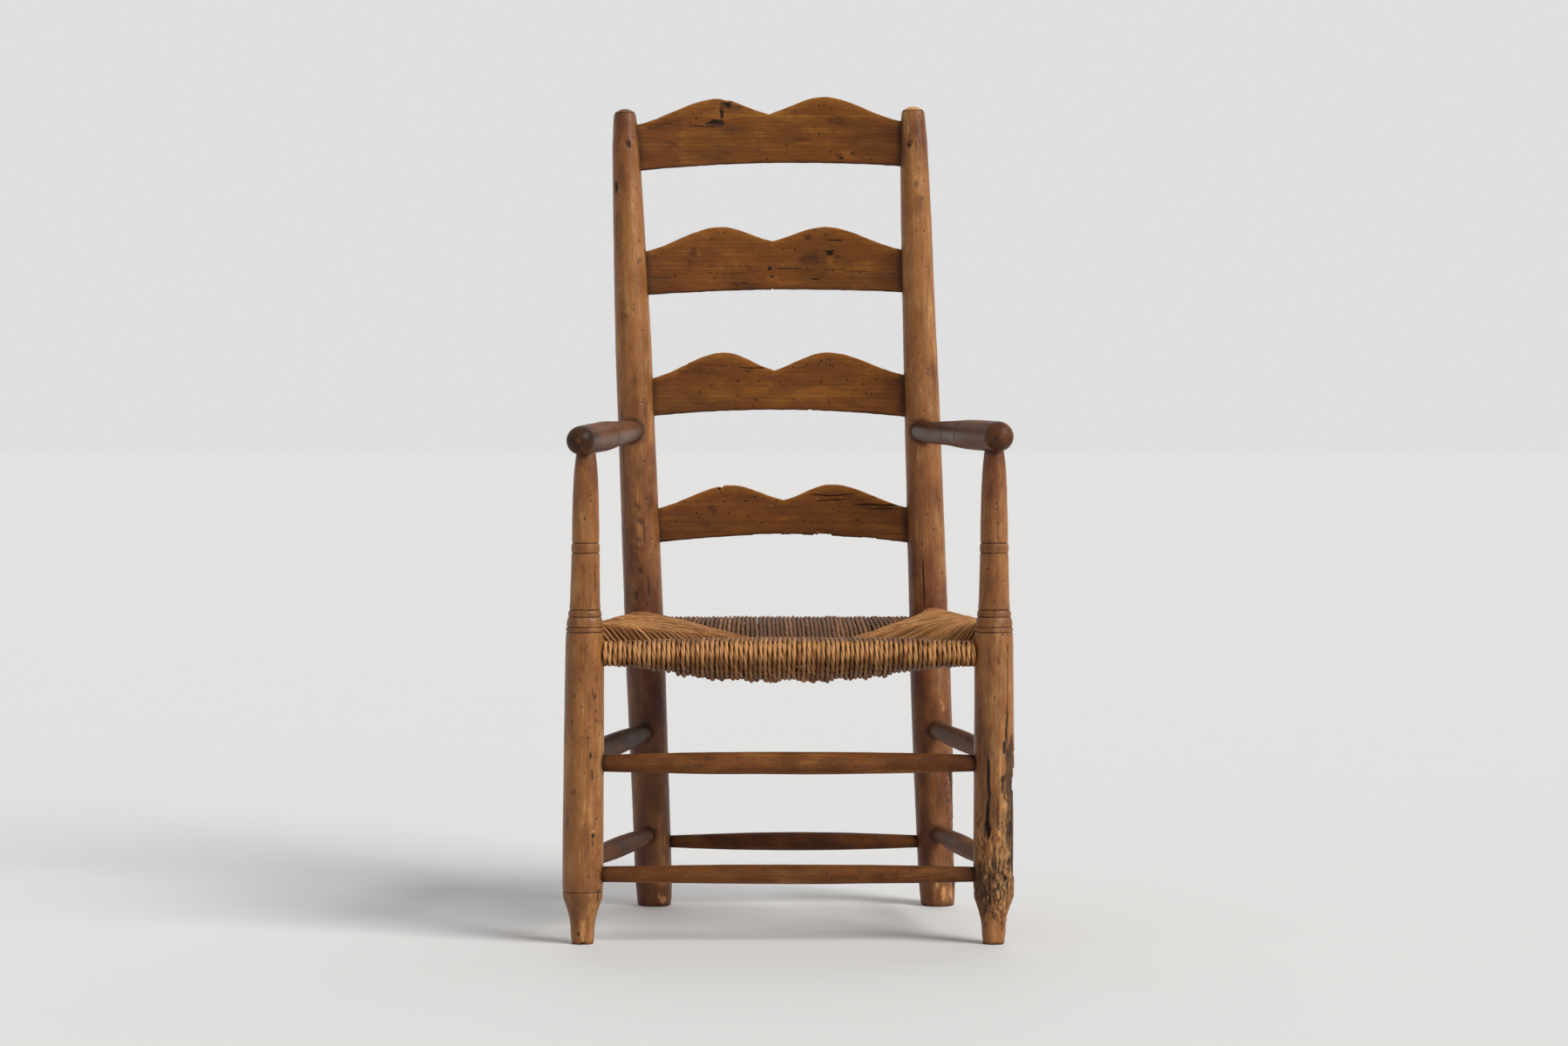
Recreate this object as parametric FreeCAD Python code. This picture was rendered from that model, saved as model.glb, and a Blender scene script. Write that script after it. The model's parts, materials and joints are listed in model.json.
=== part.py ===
import FreeCAD, Part
import math
import os

# Old ladderback armchair: turned posts, four shaped slats, round arms and a rush seat.
# Sizes are in millimetres. +Z is up, the chair faces -Y, and left and right are as seen
# from the front. The origin is on the floor, in the middle of the chair's outline.
# The frame is racked with age: the back leans over to the left, and so do its parts.

# Overall sizes
frame_depth = 400.0        # front posts' middles to back posts' middles, at the seat rails
front_foot_width = 550.7   # between the front posts' middles, on the floor
front_top_width = 543.8    # between the same, under the arms
back_foot_width = 408.6    # between the back posts' middles, on the floor
back_top_width = 418.3     # between the same, at their tops
front_post_height = 661.0  # floor to the shoulder under the right arm
back_post_height = 1148.0  # floor to the shoulder of the domed tops
left_arm_drop = 3.5        # how much lower the shoulder under the left arm is
right_post_rise = 3.0      # how much taller the right back post's top is

# Lean of the posts
front_top_shift = 2.7      # middle of the front posts' tops, to the right of the origin
back_foot_shift = 12.2     # middle of the back feet, to the right of the origin
back_top_shift = -28.0     # middle of the back posts' tops
back_rake = 60.2           # how far the back posts lean back over their height
rake_height = 386.0        # height at which frame_depth is measured
middle_line = 1.0          # midway between front and back posts, behind the origin

# Turned outlines: stations are height and diameter
foot_below = 6.0           # every post is turned longer than it needs and cut at the floor
groove_width = 1.8
groove_depth = 0.9
groove_step = 0.05         # how much slimmer the wood is past a groove
front_foot = ((0.0, 29.2), (4.0, 30.3), (29.7, 33.8), (46.5, 42.2), (62.2, 53.0))
front_collar = (70.0, 54.3)
front_body = ((90.0, 54.7), (257.8, 53.9), (399.8, 51.2), (416.8, 50.0))
front_beads = ((423.4, 48.9), (437.3, 45.0), (446.6, 42.4))
front_baluster = ((456.0, 40.6), (490.0, 39.0), (522.2, 37.8))
front_ring = (535.6, 36.6)
front_neck = ((98.0, 36.3), (60.0, 34.5), (26.5, 31.4), (0.0, 25.4))   # heights below the arm
arm_tenon_dia = 22.0
arm_tenon_length = 28.0
arm_tenon_taper = 8.0
back_stations = (0.0, 0.0035, 0.035, 0.19, 0.29, 0.38, 0.47, 0.62, 0.70, 0.86, 0.96, 0.988)
back_left_dias = (46.0, 49.0, 53.0, 54.9, 56.7, 56.0, 54.8, 53.1, 52.3, 45.0, 38.8, 33.8)
back_right_dias = (46.0, 49.0, 53.0, 58.1, 58.6, 56.0, 54.3, 51.3, 48.8, 44.2, 39.1, 35.0)
back_left_rim = 31.6
back_right_rim = 33.4
back_rim_drop = 2.6        # the scribed line, below back_post_height
back_dome_height = 5.6

# Arms: stations run back from the middle of the domed front end, with a scribed line after
# the front and the middle stretch. out is how far outside its post's middle an arm passes.
left_arm_size = {
    "dome": 37.8,
    "front": ((50.0, 39.2), (100.0, 39.9), (150.0, 40.6), (180.0, 41.0)),
    "middle": ((206.0, 40.0), (250.0, 37.0), (310.0, 34.2), (366.0, 32.4)),
    "neck": (392.0, 31.4),
    "rear": 30.6,
    "out": 0.3,
    "back_out": 2.2,
    "back_height": 684.6,
}
right_arm_size = {
    "dome": 40.0,
    "front": ((50.0, 40.9), (110.0, 41.1), (165.0, 40.3)),
    "middle": ((195.0, 38.6), (255.0, 34.8)),
    "neck": (330.0, 32.2),
    "rear": 31.2,
    "out": -4.3,
    "back_out": -5.7,
    "back_height": 683.0,
}
arm_rear_tenon = 22.0
arm_overhang = 40.0        # front post's middle to the middle of the dome
arm_seat_lift = -2.0       # from the post's shoulder up to the arm's underside

# Stretchers: the end diameters and the swelling in the middle
front_upper = {"height": 242.0, "ends": (22.6, 22.2), "middle": 30.0}
front_lower = {"height": 93.0, "ends": (20.6, 20.2), "middle": 26.0}
back_lower = {"height": 91.4, "ends": (17.0, 17.6), "middle": 26.0}
left_upper = {"heights": (254.0, 249.6), "ends": (21.4, 21.0), "middle": 28.6}
right_upper = {"heights": (254.0, 254.6), "ends": (21.4, 21.0), "middle": 28.2}
left_lower = {"heights": (110.5, 102.0), "ends": (20.4, 20.0), "middle": 28.4}
right_lower = {"heights": (110.5, 104.5), "ends": (20.4, 20.0), "middle": 28.8}

# Seat rails
rail_dia = 19.0
rail_tenon_dia = 16.0
front_rail_height = 387.0
back_rail_height = 395.0
left_rail_height = 408.5
right_rail_height = 414.0

# Fits
tenon_depth = 16.0         # in from the post's surface
fit_gap = 0.15             # round a tenon, peg or slat end in its hole
end_gap = 0.5              # beyond a tenon's end
shoulder_gap = 0.125       # between a seat rail's shoulder and the post, at the least
shoulder_slope = 0.05      # how far off square to its rails a post stands

# Slats: bottom edge at left, middle and right; top edge at its two ends, two lobes and notch.
# Heights are measured down from back_post_height, places are shares of the slat's width.
slat_thickness = 8.5
slat_bow = 13.0            # how far the middle stands behind the ends
slat_tenon = 20.0          # slat end inside the post
mortise_mouth = 12.0       # how far the tool that cuts a mortise stands out of the post
lobe_start_place = 0.06    # where a lobe begins to rise, as a share of the slat's width
lobe_start_rise = 0.20     # and how far it has risen there, as a share of its rise
notch_spread = 0.055       # where the lobe curves down into the notch
notch_rise = 0.30          # how much of the lobe's height is left there
slats = {
    "top_slat": {
        "bottom": (87.0, 74.3, 80.6),
        "ends": (19.5, 13.7),
        "lobes": (-18.4, -22.0),
        "notch": 2.6,
        "places": (0.340, 0.503, 0.697),
    },
    "second_slat": {
        "bottom": (267.5, 258.6, 263.7),
        "ends": (203.4, 200.8),
        "lobes": (167.1, 167.1),
        "notch": 187.5,
        "places": (0.312, 0.497, 0.692),
    },
    "third_slat": {
        "bottom": (442.8, 433.1, 444.1),
        "ends": (387.2, 382.1),
        "lobes": (349.8, 349.8),
        "notch": 375.2,
        "places": (0.308, 0.486, 0.678),
    },
    "fourth_slat": {
        "bottom": (625.8, 614.5, 625.8),
        "ends": (575.4, 574.2),
        "lobes": (542.0, 542.0),
        "notch": 563.4,
        "places": (0.309, 0.505, 0.667),
    },
}
peg_dia = 6.4
peg_length = 30.0
peg_proud = 0.8
peg_inset = 5.0            # from the post's middle towards the slat
peg_drop = 46.5            # below back_post_height

# Rush seat
cord_dia = 6.4
soft_gap = 0.3             # between the rush and the wood, and between the four panels
seam_length = 128.0        # where the front and back panels meet in the middle
seam_shift = 20.0          # the seam's middle, to the right of the origin
seam_top = 396.0
seam_bottom = 350.0
cut_reach = 60.0           # how far a cutting tool runs past the edge it cuts
floor_cut = 2000.0         # width of the block that cuts the feet flat
pocket_past_seam = 1.0     # a panel's inner space opens this far past the seam
pocket_past_ends = 8.0     # and this far past the seam's ends

front_line = middle_line - frame_depth / 2
back_line = middle_line + frame_depth / 2
wrap_radius = rail_dia / 2 + cord_dia


def vector(x, y, z):
    return FreeCAD.Vector(x, y, z)


def between(start, end, share):
    """The point at a share of the way from start to end."""
    return start + (end - start) * share


def smooth(points):
    """One curve through all the points."""
    curve = Part.BSplineCurve()
    curve.interpolate(points)
    return curve.toShape()


class Outline:
    """Half of a turned section, drawn upwards beside the Z axis."""

    def __init__(self, height, dia):
        self.edges = []
        self.start = self.point(height, dia)
        self.last = self.start

    def point(self, height, dia):
        return vector(dia / 2, 0, height)

    def line(self, end):
        self.edges.append(Part.LineSegment(self.last, end).toShape())
        self.last = end

    def taper(self, *stations):
        """Straight runs from station to station."""
        for height, dia in stations:
            self.line(self.point(height, dia))

    def curve(self, *stations):
        """One smooth curve through the stations."""
        points = [self.last] + [self.point(height, dia) for height, dia in stations]
        self.edges.append(smooth(points))
        self.last = points[-1]

    def swell(self, height, dia):
        """Half of a long bulge: an arc that is level at its wider end."""
        end = self.point(height, dia)
        wide = max(self.last.x, end.x)
        fall = abs(self.last.x - end.x) / 4
        self.arc(vector(wide - fall, 0, (self.last.z + end.z) / 2), end)

    def dome(self, height):
        """A round cap of this height, closed on the axis."""
        rim = self.last
        round_radius = (rim.x ** 2 + height ** 2) / (2 * height)
        centre = rim.z + height - round_radius
        lean = math.asin(rim.x / round_radius) / 2
        through = vector(round_radius * math.sin(lean), 0,
                         centre + round_radius * math.cos(lean))
        self.arc(through, vector(0, 0, rim.z + height))

    def groove(self):
        """A scribed line: a small V."""
        x, z = self.last.x, self.last.z
        self.line(vector(x - groove_depth, 0, z + groove_width / 2))
        self.line(vector(x - groove_step, 0, z + groove_width))

    def arc(self, through, end):
        self.edges.append(Part.Arc(self.last, through, end).toShape())
        self.last = end

    def solid(self):
        foot = vector(0, 0, self.start.z)
        head = vector(0, 0, self.last.z)
        edges = list(self.edges)
        if self.start.x > 0:
            edges.insert(0, Part.LineSegment(foot, self.start).toShape())
        if self.last.x > 0:
            edges.append(Part.LineSegment(self.last, head).toShape())
        edges.append(Part.LineSegment(head, foot).toShape())
        face = Part.Face(Part.Wire(edges))
        return face.revolve(vector(0, 0, 0), vector(0, 0, 1), 360)


def stood_on(solid, start, end):
    """The solid with its Z axis laid from start towards end."""
    turn = FreeCAD.Rotation(vector(0, 0, 1), end - start)
    placed = solid.copy()
    placed.Placement = FreeCAD.Placement(start, turn)
    return placed


def rod(start, end, dia):
    """A plain round bar between two points, used for holes and sleeves."""
    return Part.makeCylinder(dia / 2, (end - start).Length, start, end - start)


def largest(shape):
    """The main solid of a cut shape; what is left of it inside the posts is dropped."""
    return max(shape.Solids, key=lambda solid: solid.Volume)


def add_neck(outline, height, gap):
    """The slim upper stretch of a front post, which ends in a tapered tenon inside the arm."""
    outline.curve(*[(height - below, dia + 2 * gap) for below, dia in front_neck[1:]])
    outline.taper((height + arm_tenon_taper, arm_tenon_dia + 2 * gap))
    end = end_gap if gap else 0.0
    outline.taper((height + arm_tenon_length + end, arm_tenon_dia + 2 * gap))


def front_post_turning(height):
    """Turned front post: its height is that of its shoulder under the arm."""
    post = Outline(-foot_below, front_foot[0][1])
    post.taper(front_foot[0])
    post.curve(*front_foot[1:])
    post.taper(front_collar)
    post.groove()
    post.taper(*front_body)
    for station in front_beads:
        post.groove()
        post.taper(station)
    post.groove()
    post.taper(*front_baluster)
    post.groove()
    post.taper(front_ring)
    post.groove()
    below, dia = front_neck[0]
    post.taper((height - below, dia))
    add_neck(post, height, 0.0)
    return post.solid()


def arm_socket(height):
    """What an arm is cut by, to sit over a front post's end."""
    below, dia = front_neck[0]
    socket = Outline(height - below, dia + 2 * fit_gap)
    add_neck(socket, height, fit_gap)
    return socket.solid()


def back_post_turning(stations):
    """Turned back post with a scribed line and a low dome on top."""
    post = Outline(-foot_below, stations[0][1])
    post.taper(*stations)
    post.groove()
    post.dome(back_dome_height)
    return post.solid()


def back_post_stations(dias, rim, rise):
    height = back_post_height + rise
    stations = [(share * height, dia) for share, dia in zip(back_stations, dias)]
    return stations + [(height - back_rim_drop, rim)]


class Post:
    """A post's axis and outline, and what has been cut into it."""

    def __init__(self, foot, top, turning, stations):
        self.foot = foot
        self.top = top
        self.stations = stations
        corner = vector(-floor_cut / 2, -floor_cut / 2, -cut_reach)
        floor = Part.makeBox(floor_cut, floor_cut, cut_reach, corner)
        self.solid = stood_on(turning, foot, top).cut(floor)
        self.tenons = []

    def at(self, height):
        """The point on the axis at a height above the floor."""
        return between(self.foot, self.top, (height - self.foot.z) / (self.top.z - self.foot.z))

    def radius(self, height):
        for (low, low_dia), (high, high_dia) in zip(self.stations, self.stations[1:]):
            if low <= height <= high:
                share = (height - low) / (high - low)
                return (low_dia + (high_dia - low_dia) * share) / 2
        return self.stations[-1][1] / 2

    def sleeve(self, low, high, gap):
        """The post's bulk between two heights, with a gap all round."""
        widest = max(self.radius(low), self.radius(high), self.radius((low + high) / 2))
        return rod(self.at(low), self.at(high), 2 * (widest + gap))


def post_pair(foot_width, foot_shift, top_width, top_shift, foot_y, top_y, top_z):
    """Foot and top points of a left and a right post."""
    pairs = []
    for side in (-1, 1):
        foot = vector(side * foot_width / 2 + foot_shift, foot_y, 0)
        top = vector(side * top_width / 2 + top_shift, top_y, top_z)
        pairs.append((foot, top))
    return pairs


def make_posts():
    rake_at_rail = back_rake * rake_height / back_post_height
    foot_y = back_line - rake_at_rail
    front_ends = post_pair(front_foot_width, 0, front_top_width, front_top_shift,
                           front_line, front_line, front_post_height)
    back_ends = post_pair(back_foot_width, back_foot_shift, back_top_width, back_top_shift,
                          foot_y, foot_y + back_rake, back_post_height)
    plain_front = front_foot + (front_collar,) + front_body + front_beads + front_baluster
    posts = {}
    for name, ends, drop in zip(("front_left_post", "front_right_post"), front_ends,
                                (left_arm_drop, 0.0)):
        height = front_post_height - drop
        neck = tuple((height - below, dia) for below, dia in front_neck)
        stations = plain_front + (front_ring,) + neck
        posts[name] = Post(ends[0], ends[1], front_post_turning(height), stations)
    back_outlines = (
        back_post_stations(back_left_dias, back_left_rim, 0.0),
        back_post_stations(back_right_dias, back_right_rim, right_post_rise),
    )
    for name, ends, stations in zip(("back_left_post", "back_right_post"), back_ends,
                                    back_outlines):
        posts[name] = Post(ends[0], ends[1], back_post_turning(stations), stations)
    return posts


def tenoned(post_a, height_a, post_b, height_b, tenon_a, tenon_b, outline):
    """A turned bar between two posts: it is seated in both, and both are bored for it.

    outline(length) gives the bar's section between the posts' surfaces. Where it would meet
    the tenon of an earlier bar inside a post, it is notched round that tenon.
    """
    a = post_a.at(height_a)
    b = post_b.at(height_b)
    reach = (b - a).Length
    start = between(a, b, (post_a.radius(height_a) - tenon_depth) / reach)
    end = between(b, a, (post_b.radius(height_b) - tenon_depth) / reach)
    bar = stood_on(outline((end - start).Length), start, end)
    for post, ending, middle, dia in ((post_a, start, b, tenon_a), (post_b, end, a, tenon_b)):
        away = (middle - ending).normalize()
        hole = rod(ending - away * end_gap, ending + away * cut_reach, dia + 2 * fit_gap)
        post.solid = post.solid.cut(hole)
        for earlier in post.tenons:
            bar = bar.cut(earlier)
        post.tenons.append(rod(ending - away * fit_gap, ending + away * tenon_depth,
                               dia + 2 * fit_gap))
    return largest(bar)


def stretcher(post_a, height_a, post_b, height_b, ends, middle):
    def outline(length):
        bar = Outline(0, ends[0])
        bar.taper((tenon_depth, ends[0]))
        bar.swell(length / 2, middle)
        bar.swell(length - tenon_depth, ends[1])
        bar.taper((length, ends[1]))
        return bar.solid()
    return tenoned(post_a, height_a, post_b, height_b, ends[0], ends[1], outline)


def seat_rail(post_a, post_b, height):
    def outline(length):
        bar = Outline(0, rail_tenon_dia)
        shoulder = tenon_depth + shoulder_gap + shoulder_slope * rail_dia / 2
        bar.taper((shoulder, rail_tenon_dia), (shoulder, rail_dia))
        bar.taper((length - shoulder, rail_dia), (length - shoulder, rail_tenon_dia))
        bar.taper((length, rail_tenon_dia))
        return bar.solid()
    return tenoned(post_a, height, post_b, height, rail_tenon_dia, rail_tenon_dia, outline)


def make_stretchers(posts):
    front_left = posts["front_left_post"]
    front_right = posts["front_right_post"]
    back_left = posts["back_left_post"]
    back_right = posts["back_right_post"]
    nodes = {}
    across = (
        ("front_upper_stretcher", front_left, front_right, front_upper),
        ("front_lower_stretcher", front_left, front_right, front_lower),
        ("back_stretcher", back_left, back_right, back_lower),
    )
    for name, post_a, post_b, size in across:
        height = size["height"]
        nodes[name] = stretcher(post_a, height, post_b, height, size["ends"], size["middle"])
    along = (
        ("left_upper_stretcher", front_left, back_left, left_upper),
        ("right_upper_stretcher", front_right, back_right, right_upper),
        ("left_lower_stretcher", front_left, back_left, left_lower),
        ("right_lower_stretcher", front_right, back_right, right_lower),
    )
    for name, post_a, post_b, size in along:
        front, back = size["heights"]
        nodes[name] = stretcher(post_a, front, post_b, back, size["ends"], size["middle"])
    nodes["front_seat_rail"] = seat_rail(front_left, front_right, front_rail_height)
    nodes["back_seat_rail"] = seat_rail(back_left, back_right, back_rail_height)
    nodes["left_seat_rail"] = seat_rail(front_left, back_left, left_rail_height)
    nodes["right_seat_rail"] = seat_rail(front_right, back_right, right_rail_height)
    return nodes


def arm_turning(size, reach):
    """Turned arm without its tenon: domed front end, two scribed lines and a narrower neck."""
    radius = size["dome"] / 2
    arm = Outline(-radius, 0)
    slant = radius * math.sqrt(0.5)
    arm.arc(vector(slant, 0, -slant), vector(radius, 0, 0))
    arm.curve(*size["front"])
    arm.groove()
    arm.curve(*size["middle"])
    arm.groove()
    arm.curve(size["neck"], (reach, size["rear"]))
    return arm.solid()


def make_arm(front_post, back_post, side, drop, size):
    """An arm that sits over its front post's tenon and is seated in its back post."""
    height = front_post_height - drop
    top = front_post.at(height)
    rise = size["dome"] / 2 + arm_seat_lift
    middle = vector(top.x + side * size["out"], top.y, height + rise)
    back_height = size["back_height"]
    entry = back_post.at(back_height) + vector(side * size["back_out"], 0, 0)
    away = (entry - middle).normalize()
    dome = middle - away * arm_overhang
    reach = (entry - dome).Length
    radius = back_post.radius(back_height)
    surface = reach - (radius ** 2 - size["back_out"] ** 2) ** 0.5
    tenon_end = surface + tenon_depth
    arm = stood_on(arm_turning(size, reach), dome, entry)
    near = size["rear"]
    arm = arm.cut(back_post.sleeve(back_height - near, back_height + near, fit_gap))
    arm = largest(arm)
    tenon = rod(dome + away * (surface - near), dome + away * tenon_end, arm_rear_tenon)
    arm = arm.fuse(tenon)
    hole = rod(dome + away * (tenon_end + end_gap), middle, arm_rear_tenon + 2 * fit_gap)
    back_post.solid = back_post.solid.cut(hole)
    return arm.cut(stood_on(arm_socket(height), front_post.foot, front_post.top))


def make_arms(posts):
    return {
        "left_arm": make_arm(posts["front_left_post"], posts["back_left_post"], -1,
                             left_arm_drop, left_arm_size),
        "right_arm": make_arm(posts["front_right_post"], posts["back_right_post"], 1,
                              0.0, right_arm_size),
    }


class SlatPlace:
    """Where a slat stands between the back posts, and how its board is bent and leant."""

    def __init__(self, posts, size):
        left = posts["back_left_post"]
        right = posts["back_right_post"]
        low = back_post_height - size["bottom"][0]
        high = back_post_height - size["ends"][0]
        self.waist = (low + high) / 2
        self.left_x = left.at(self.waist).x + left.radius(self.waist)
        self.right_x = right.at(self.waist).x - right.radius(self.waist)
        self.width = self.right_x - self.left_x
        self.y = left.at(self.waist).y
        self.lean = (left.at(high).x - left.at(low).x) / (high - low)

    def point(self, place, below, out=0.0, lift=0.0):
        """A point of the outline: place is a share of the width, out and lift are sizes."""
        height = back_post_height - below + lift
        x = self.left_x + place * self.width + out
        return vector(x + self.lean * (height - self.waist), 0, height)

    def bent(self, outline, half):
        """A board of this outline, twice as thick as half, bowed and laid on the rake."""
        face = Part.Face(Part.Wire(outline))
        face.translate(vector(0, -cut_reach, 0))
        block = face.extrude(vector(0, 2 * cut_reach, 0))
        ends = (self.left_x - cut_reach, self.right_x + cut_reach)
        end_bow = slat_bow * ((1 + 2 * cut_reach / self.width) ** 2 - 1)
        middle_x = (self.left_x + self.right_x) / 2

        def bow(shift):
            return Part.Arc(vector(ends[0], shift - end_bow, 0),
                            vector(middle_x, shift + slat_bow, 0),
                            vector(ends[1], shift - end_bow, 0)).toShape()

        caps = [segment(vector(x, -half - end_bow, 0), vector(x, half - end_bow, 0)) for x in ends]
        plan = Part.Face(Part.Wire(Part.sortEdges([bow(-half), bow(half)] + caps)[0]))
        board = block.common(plan.extrude(vector(0, 0, 2 * back_post_height)))
        tilt = FreeCAD.Rotation(vector(1, 0, 0), -rake_angle())
        board.Placement = FreeCAD.Placement(vector(0, self.y, 0), tilt, vector(0, 0, self.waist))
        return board


def segment(a, b):
    return Part.LineSegment(a, b).toShape()


def polygon(points):
    return [segment(a, b) for a, b in zip(points, points[1:] + points[:1])]


def slat_board(posts, size):
    """A bent board with two lobes and a notch above and a hollow edge below."""
    at = SlatPlace(posts, size)
    left_place, notch_place, right_place = size["places"]
    left_end, right_end = size["ends"]
    left_lobe, right_lobe = size["lobes"]
    notch = size["notch"]
    bottom_left, bottom_middle, bottom_right = size["bottom"]

    def shoulder(end, lobe):
        return end + (lobe - end) * lobe_start_rise

    def valley(lobe):
        return notch + (lobe - notch) * notch_rise

    left_lobe_edge = smooth([
        at.point(0, left_end),
        at.point(lobe_start_place, shoulder(left_end, left_lobe)),
        at.point(left_place, left_lobe),
        at.point(notch_place - notch_spread, valley(left_lobe)),
        at.point(notch_place, notch),
    ])
    right_lobe_edge = smooth([
        at.point(notch_place, notch),
        at.point(notch_place + notch_spread, valley(right_lobe)),
        at.point(right_place, right_lobe),
        at.point(1 - lobe_start_place, shoulder(right_end, right_lobe)),
        at.point(1, right_end),
    ])
    right_tenon = [
        at.point(1, right_end),
        at.point(1, right_end, slat_tenon),
        at.point(1, bottom_right, slat_tenon),
        at.point(1, bottom_right),
    ]
    left_tenon = [
        at.point(0, bottom_left),
        at.point(0, bottom_left, -slat_tenon),
        at.point(0, left_end, -slat_tenon),
        at.point(0, left_end),
    ]
    bottom_edge = Part.Arc(at.point(1, bottom_right), at.point(0.5, bottom_middle),
                           at.point(0, bottom_left)).toShape()
    outline = [left_lobe_edge, right_lobe_edge]
    outline += [segment(a, b) for a, b in zip(right_tenon, right_tenon[1:])]
    outline.append(bottom_edge)
    outline += [segment(a, b) for a, b in zip(left_tenon, left_tenon[1:])]
    return at.bent(outline, slat_thickness / 2)


def slat_mortise(posts, size, place, side):
    """The slot for one end of a slat: side is -1 for the left post and 1 for the right."""
    at = SlatPlace(posts, size)
    end = size["ends"][place]
    bottom = size["bottom"][2 * place]
    inner = -side * mortise_mouth
    outer = side * (slat_tenon + end_gap)
    corners = [
        at.point(place, end, inner, fit_gap),
        at.point(place, end, outer, fit_gap),
        at.point(place, bottom, outer, -fit_gap),
        at.point(place, bottom, inner, -fit_gap),
    ]
    return at.bent(polygon(corners), slat_thickness / 2 + fit_gap)


def rake_angle():
    """The back posts' lean, in degrees."""
    direction = vector(0, back_rake, back_post_height)
    return math.degrees(FreeCAD.Rotation(vector(0, 0, 1), direction).Angle)


def make_slats(posts):
    nodes = {}
    for name, size in slats.items():
        nodes[name] = slat_board(posts, size)
        for post, place, side in (("back_left_post", 0, -1), ("back_right_post", 1, 1)):
            mortise = slat_mortise(posts, size, place, side)
            posts[post].solid = posts[post].solid.cut(mortise)
    return nodes


def make_pegs(posts, nodes):
    """Two pegs that pin the top slat, driven in from the front of the back posts."""
    height = back_post_height - peg_drop
    pegs = []
    for name, inwards in (("back_left_post", 1), ("back_right_post", -1)):
        post = posts[name]
        middle = post.at(height)
        radius = post.radius(height)
        surface = middle.y - (radius ** 2 - peg_inset ** 2) ** 0.5
        start = vector(middle.x + inwards * peg_inset, surface - peg_proud, height)
        end = start + vector(0, peg_length, 0)
        pegs.append(rod(start, end, peg_dia))
        hole = rod(start, end + vector(0, end_gap, 0), peg_dia + 2 * fit_gap)
        post.solid = post.solid.cut(hole)
        nodes["top_slat"] = nodes["top_slat"].cut(hole)
    return Part.makeCompound(pegs)


def height_on(plane, x, y):
    """Height of the plane through three points, above a place in plan."""
    normal = (plane[1] - plane[0]).cross(plane[2] - plane[0])
    return plane[0].z - (normal.x * (x - plane[0].x) + normal.y * (y - plane[0].y)) / normal.z


def slab(plan, top, bottom, shrink):
    """A flat-sided block: plan points, between two planes, both moved in by shrink."""
    uppers = [vector(p.x, p.y, height_on(top, p.x, p.y) - shrink) for p in plan]
    lowers = [vector(p.x, p.y, height_on(bottom, p.x, p.y) + shrink) for p in plan]
    faces = [Part.Face(Part.makePolygon(uppers + uppers[:1]))]
    faces.append(Part.Face(Part.makePolygon(lowers + lowers[:1])))
    for i in range(len(plan)):
        j = (i + 1) % len(plan)
        loop = [uppers[i], uppers[j], lowers[j], lowers[i], uppers[i]]
        faces.append(Part.Face(Part.makePolygon(loop)))
    solid = Part.Solid(Part.Shell(faces))
    if solid.Volume < 0:
        solid.reverse()
    return solid


def thin_wall(a, b):
    """An upright sheet over the line from a to b, as thick as the gap between panels."""
    along = vector(b.x - a.x, b.y - a.y, 0)
    side = vector(-along.y, along.x, 0).normalize() * (soft_gap / 2)
    foot = [vector(p.x, p.y, 0) for p in (a - side, b - side, b + side, a + side)]
    return Part.Face(Part.makePolygon(foot + foot[:1])).extrude(vector(0, 0, 2 * seam_top))


def make_seat(posts):
    """Rush panels wrapped round their rails, and the stuffing between their two layers."""
    corners = {
        "front": ("front_left_post", "front_right_post", front_rail_height),
        "right": ("front_right_post", "back_right_post", right_rail_height),
        "back": ("back_right_post", "back_left_post", back_rail_height),
        "left": ("back_left_post", "front_left_post", left_rail_height),
    }
    seam_y = middle_line
    seam_left = vector(seam_shift - seam_length / 2, seam_y, seam_top)
    seam_right = vector(seam_shift + seam_length / 2, seam_y, seam_top)
    inner_ends = {
        "front": (seam_right, seam_left),
        "right": (seam_right,),
        "back": (seam_left, seam_right),
        "left": (seam_left,),
    }
    walls = [thin_wall(seam_left, seam_right)]
    for post, seam_end in (("front_left_post", seam_left), ("back_left_post", seam_left),
                           ("front_right_post", seam_right), ("back_right_post", seam_right)):
        walls.append(thin_wall(posts[post].at(front_rail_height), seam_end))
    sleeves = [
        post.sleeve(front_rail_height - cut_reach, left_rail_height + cut_reach, soft_gap)
        for post in posts.values()
    ]
    lift = vector(0, 0, wrap_radius)
    sink = vector(0, 0, seam_top - seam_bottom)
    nodes = {}
    for side, (name_a, name_b, height) in corners.items():
        a = posts[name_a].at(height)
        b = posts[name_b].at(height)
        inner = inner_ends[side]
        top = (a + lift, b + lift, inner[0])
        bottom = (a - lift, b - lift, inner[0] - sink)
        core = slab([a, b] + list(inner), top, bottom, 0.0)
        panel = core.fuse(rod(a, b, 2 * wrap_radius))
        panel = panel.cut(rod(a, b, rail_dia + 2 * soft_gap))

        along = (b - a).normalize()
        inward = vector(-along.y, along.x, 0)
        depth = (inner[0] - a).dot(inward)
        hollow_start = wrap_radius / depth
        past_seam = inward * pocket_past_seam
        past_end = along * pocket_past_ends
        pocket = [
            a + inward * wrap_radius,
            b + inward * wrap_radius,
            inner[0] + past_seam + past_end,
            inner[-1] + past_seam - past_end,
        ]
        panel = panel.cut(slab(pocket, top, bottom, cord_dia))

        pad_start = hollow_start + soft_gap / depth
        plan = [between(a, inner[-1], pad_start), between(b, inner[0], pad_start)]
        pad = slab(plan + list(inner), top, bottom, cord_dia + soft_gap)
        for cutter in walls + sleeves:
            panel = panel.cut(cutter)
            pad = pad.cut(cutter)
        nodes["rush_" + side + "_panel"] = largest(panel)
        nodes["stuffing_" + side] = largest(pad)
    return nodes


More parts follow.
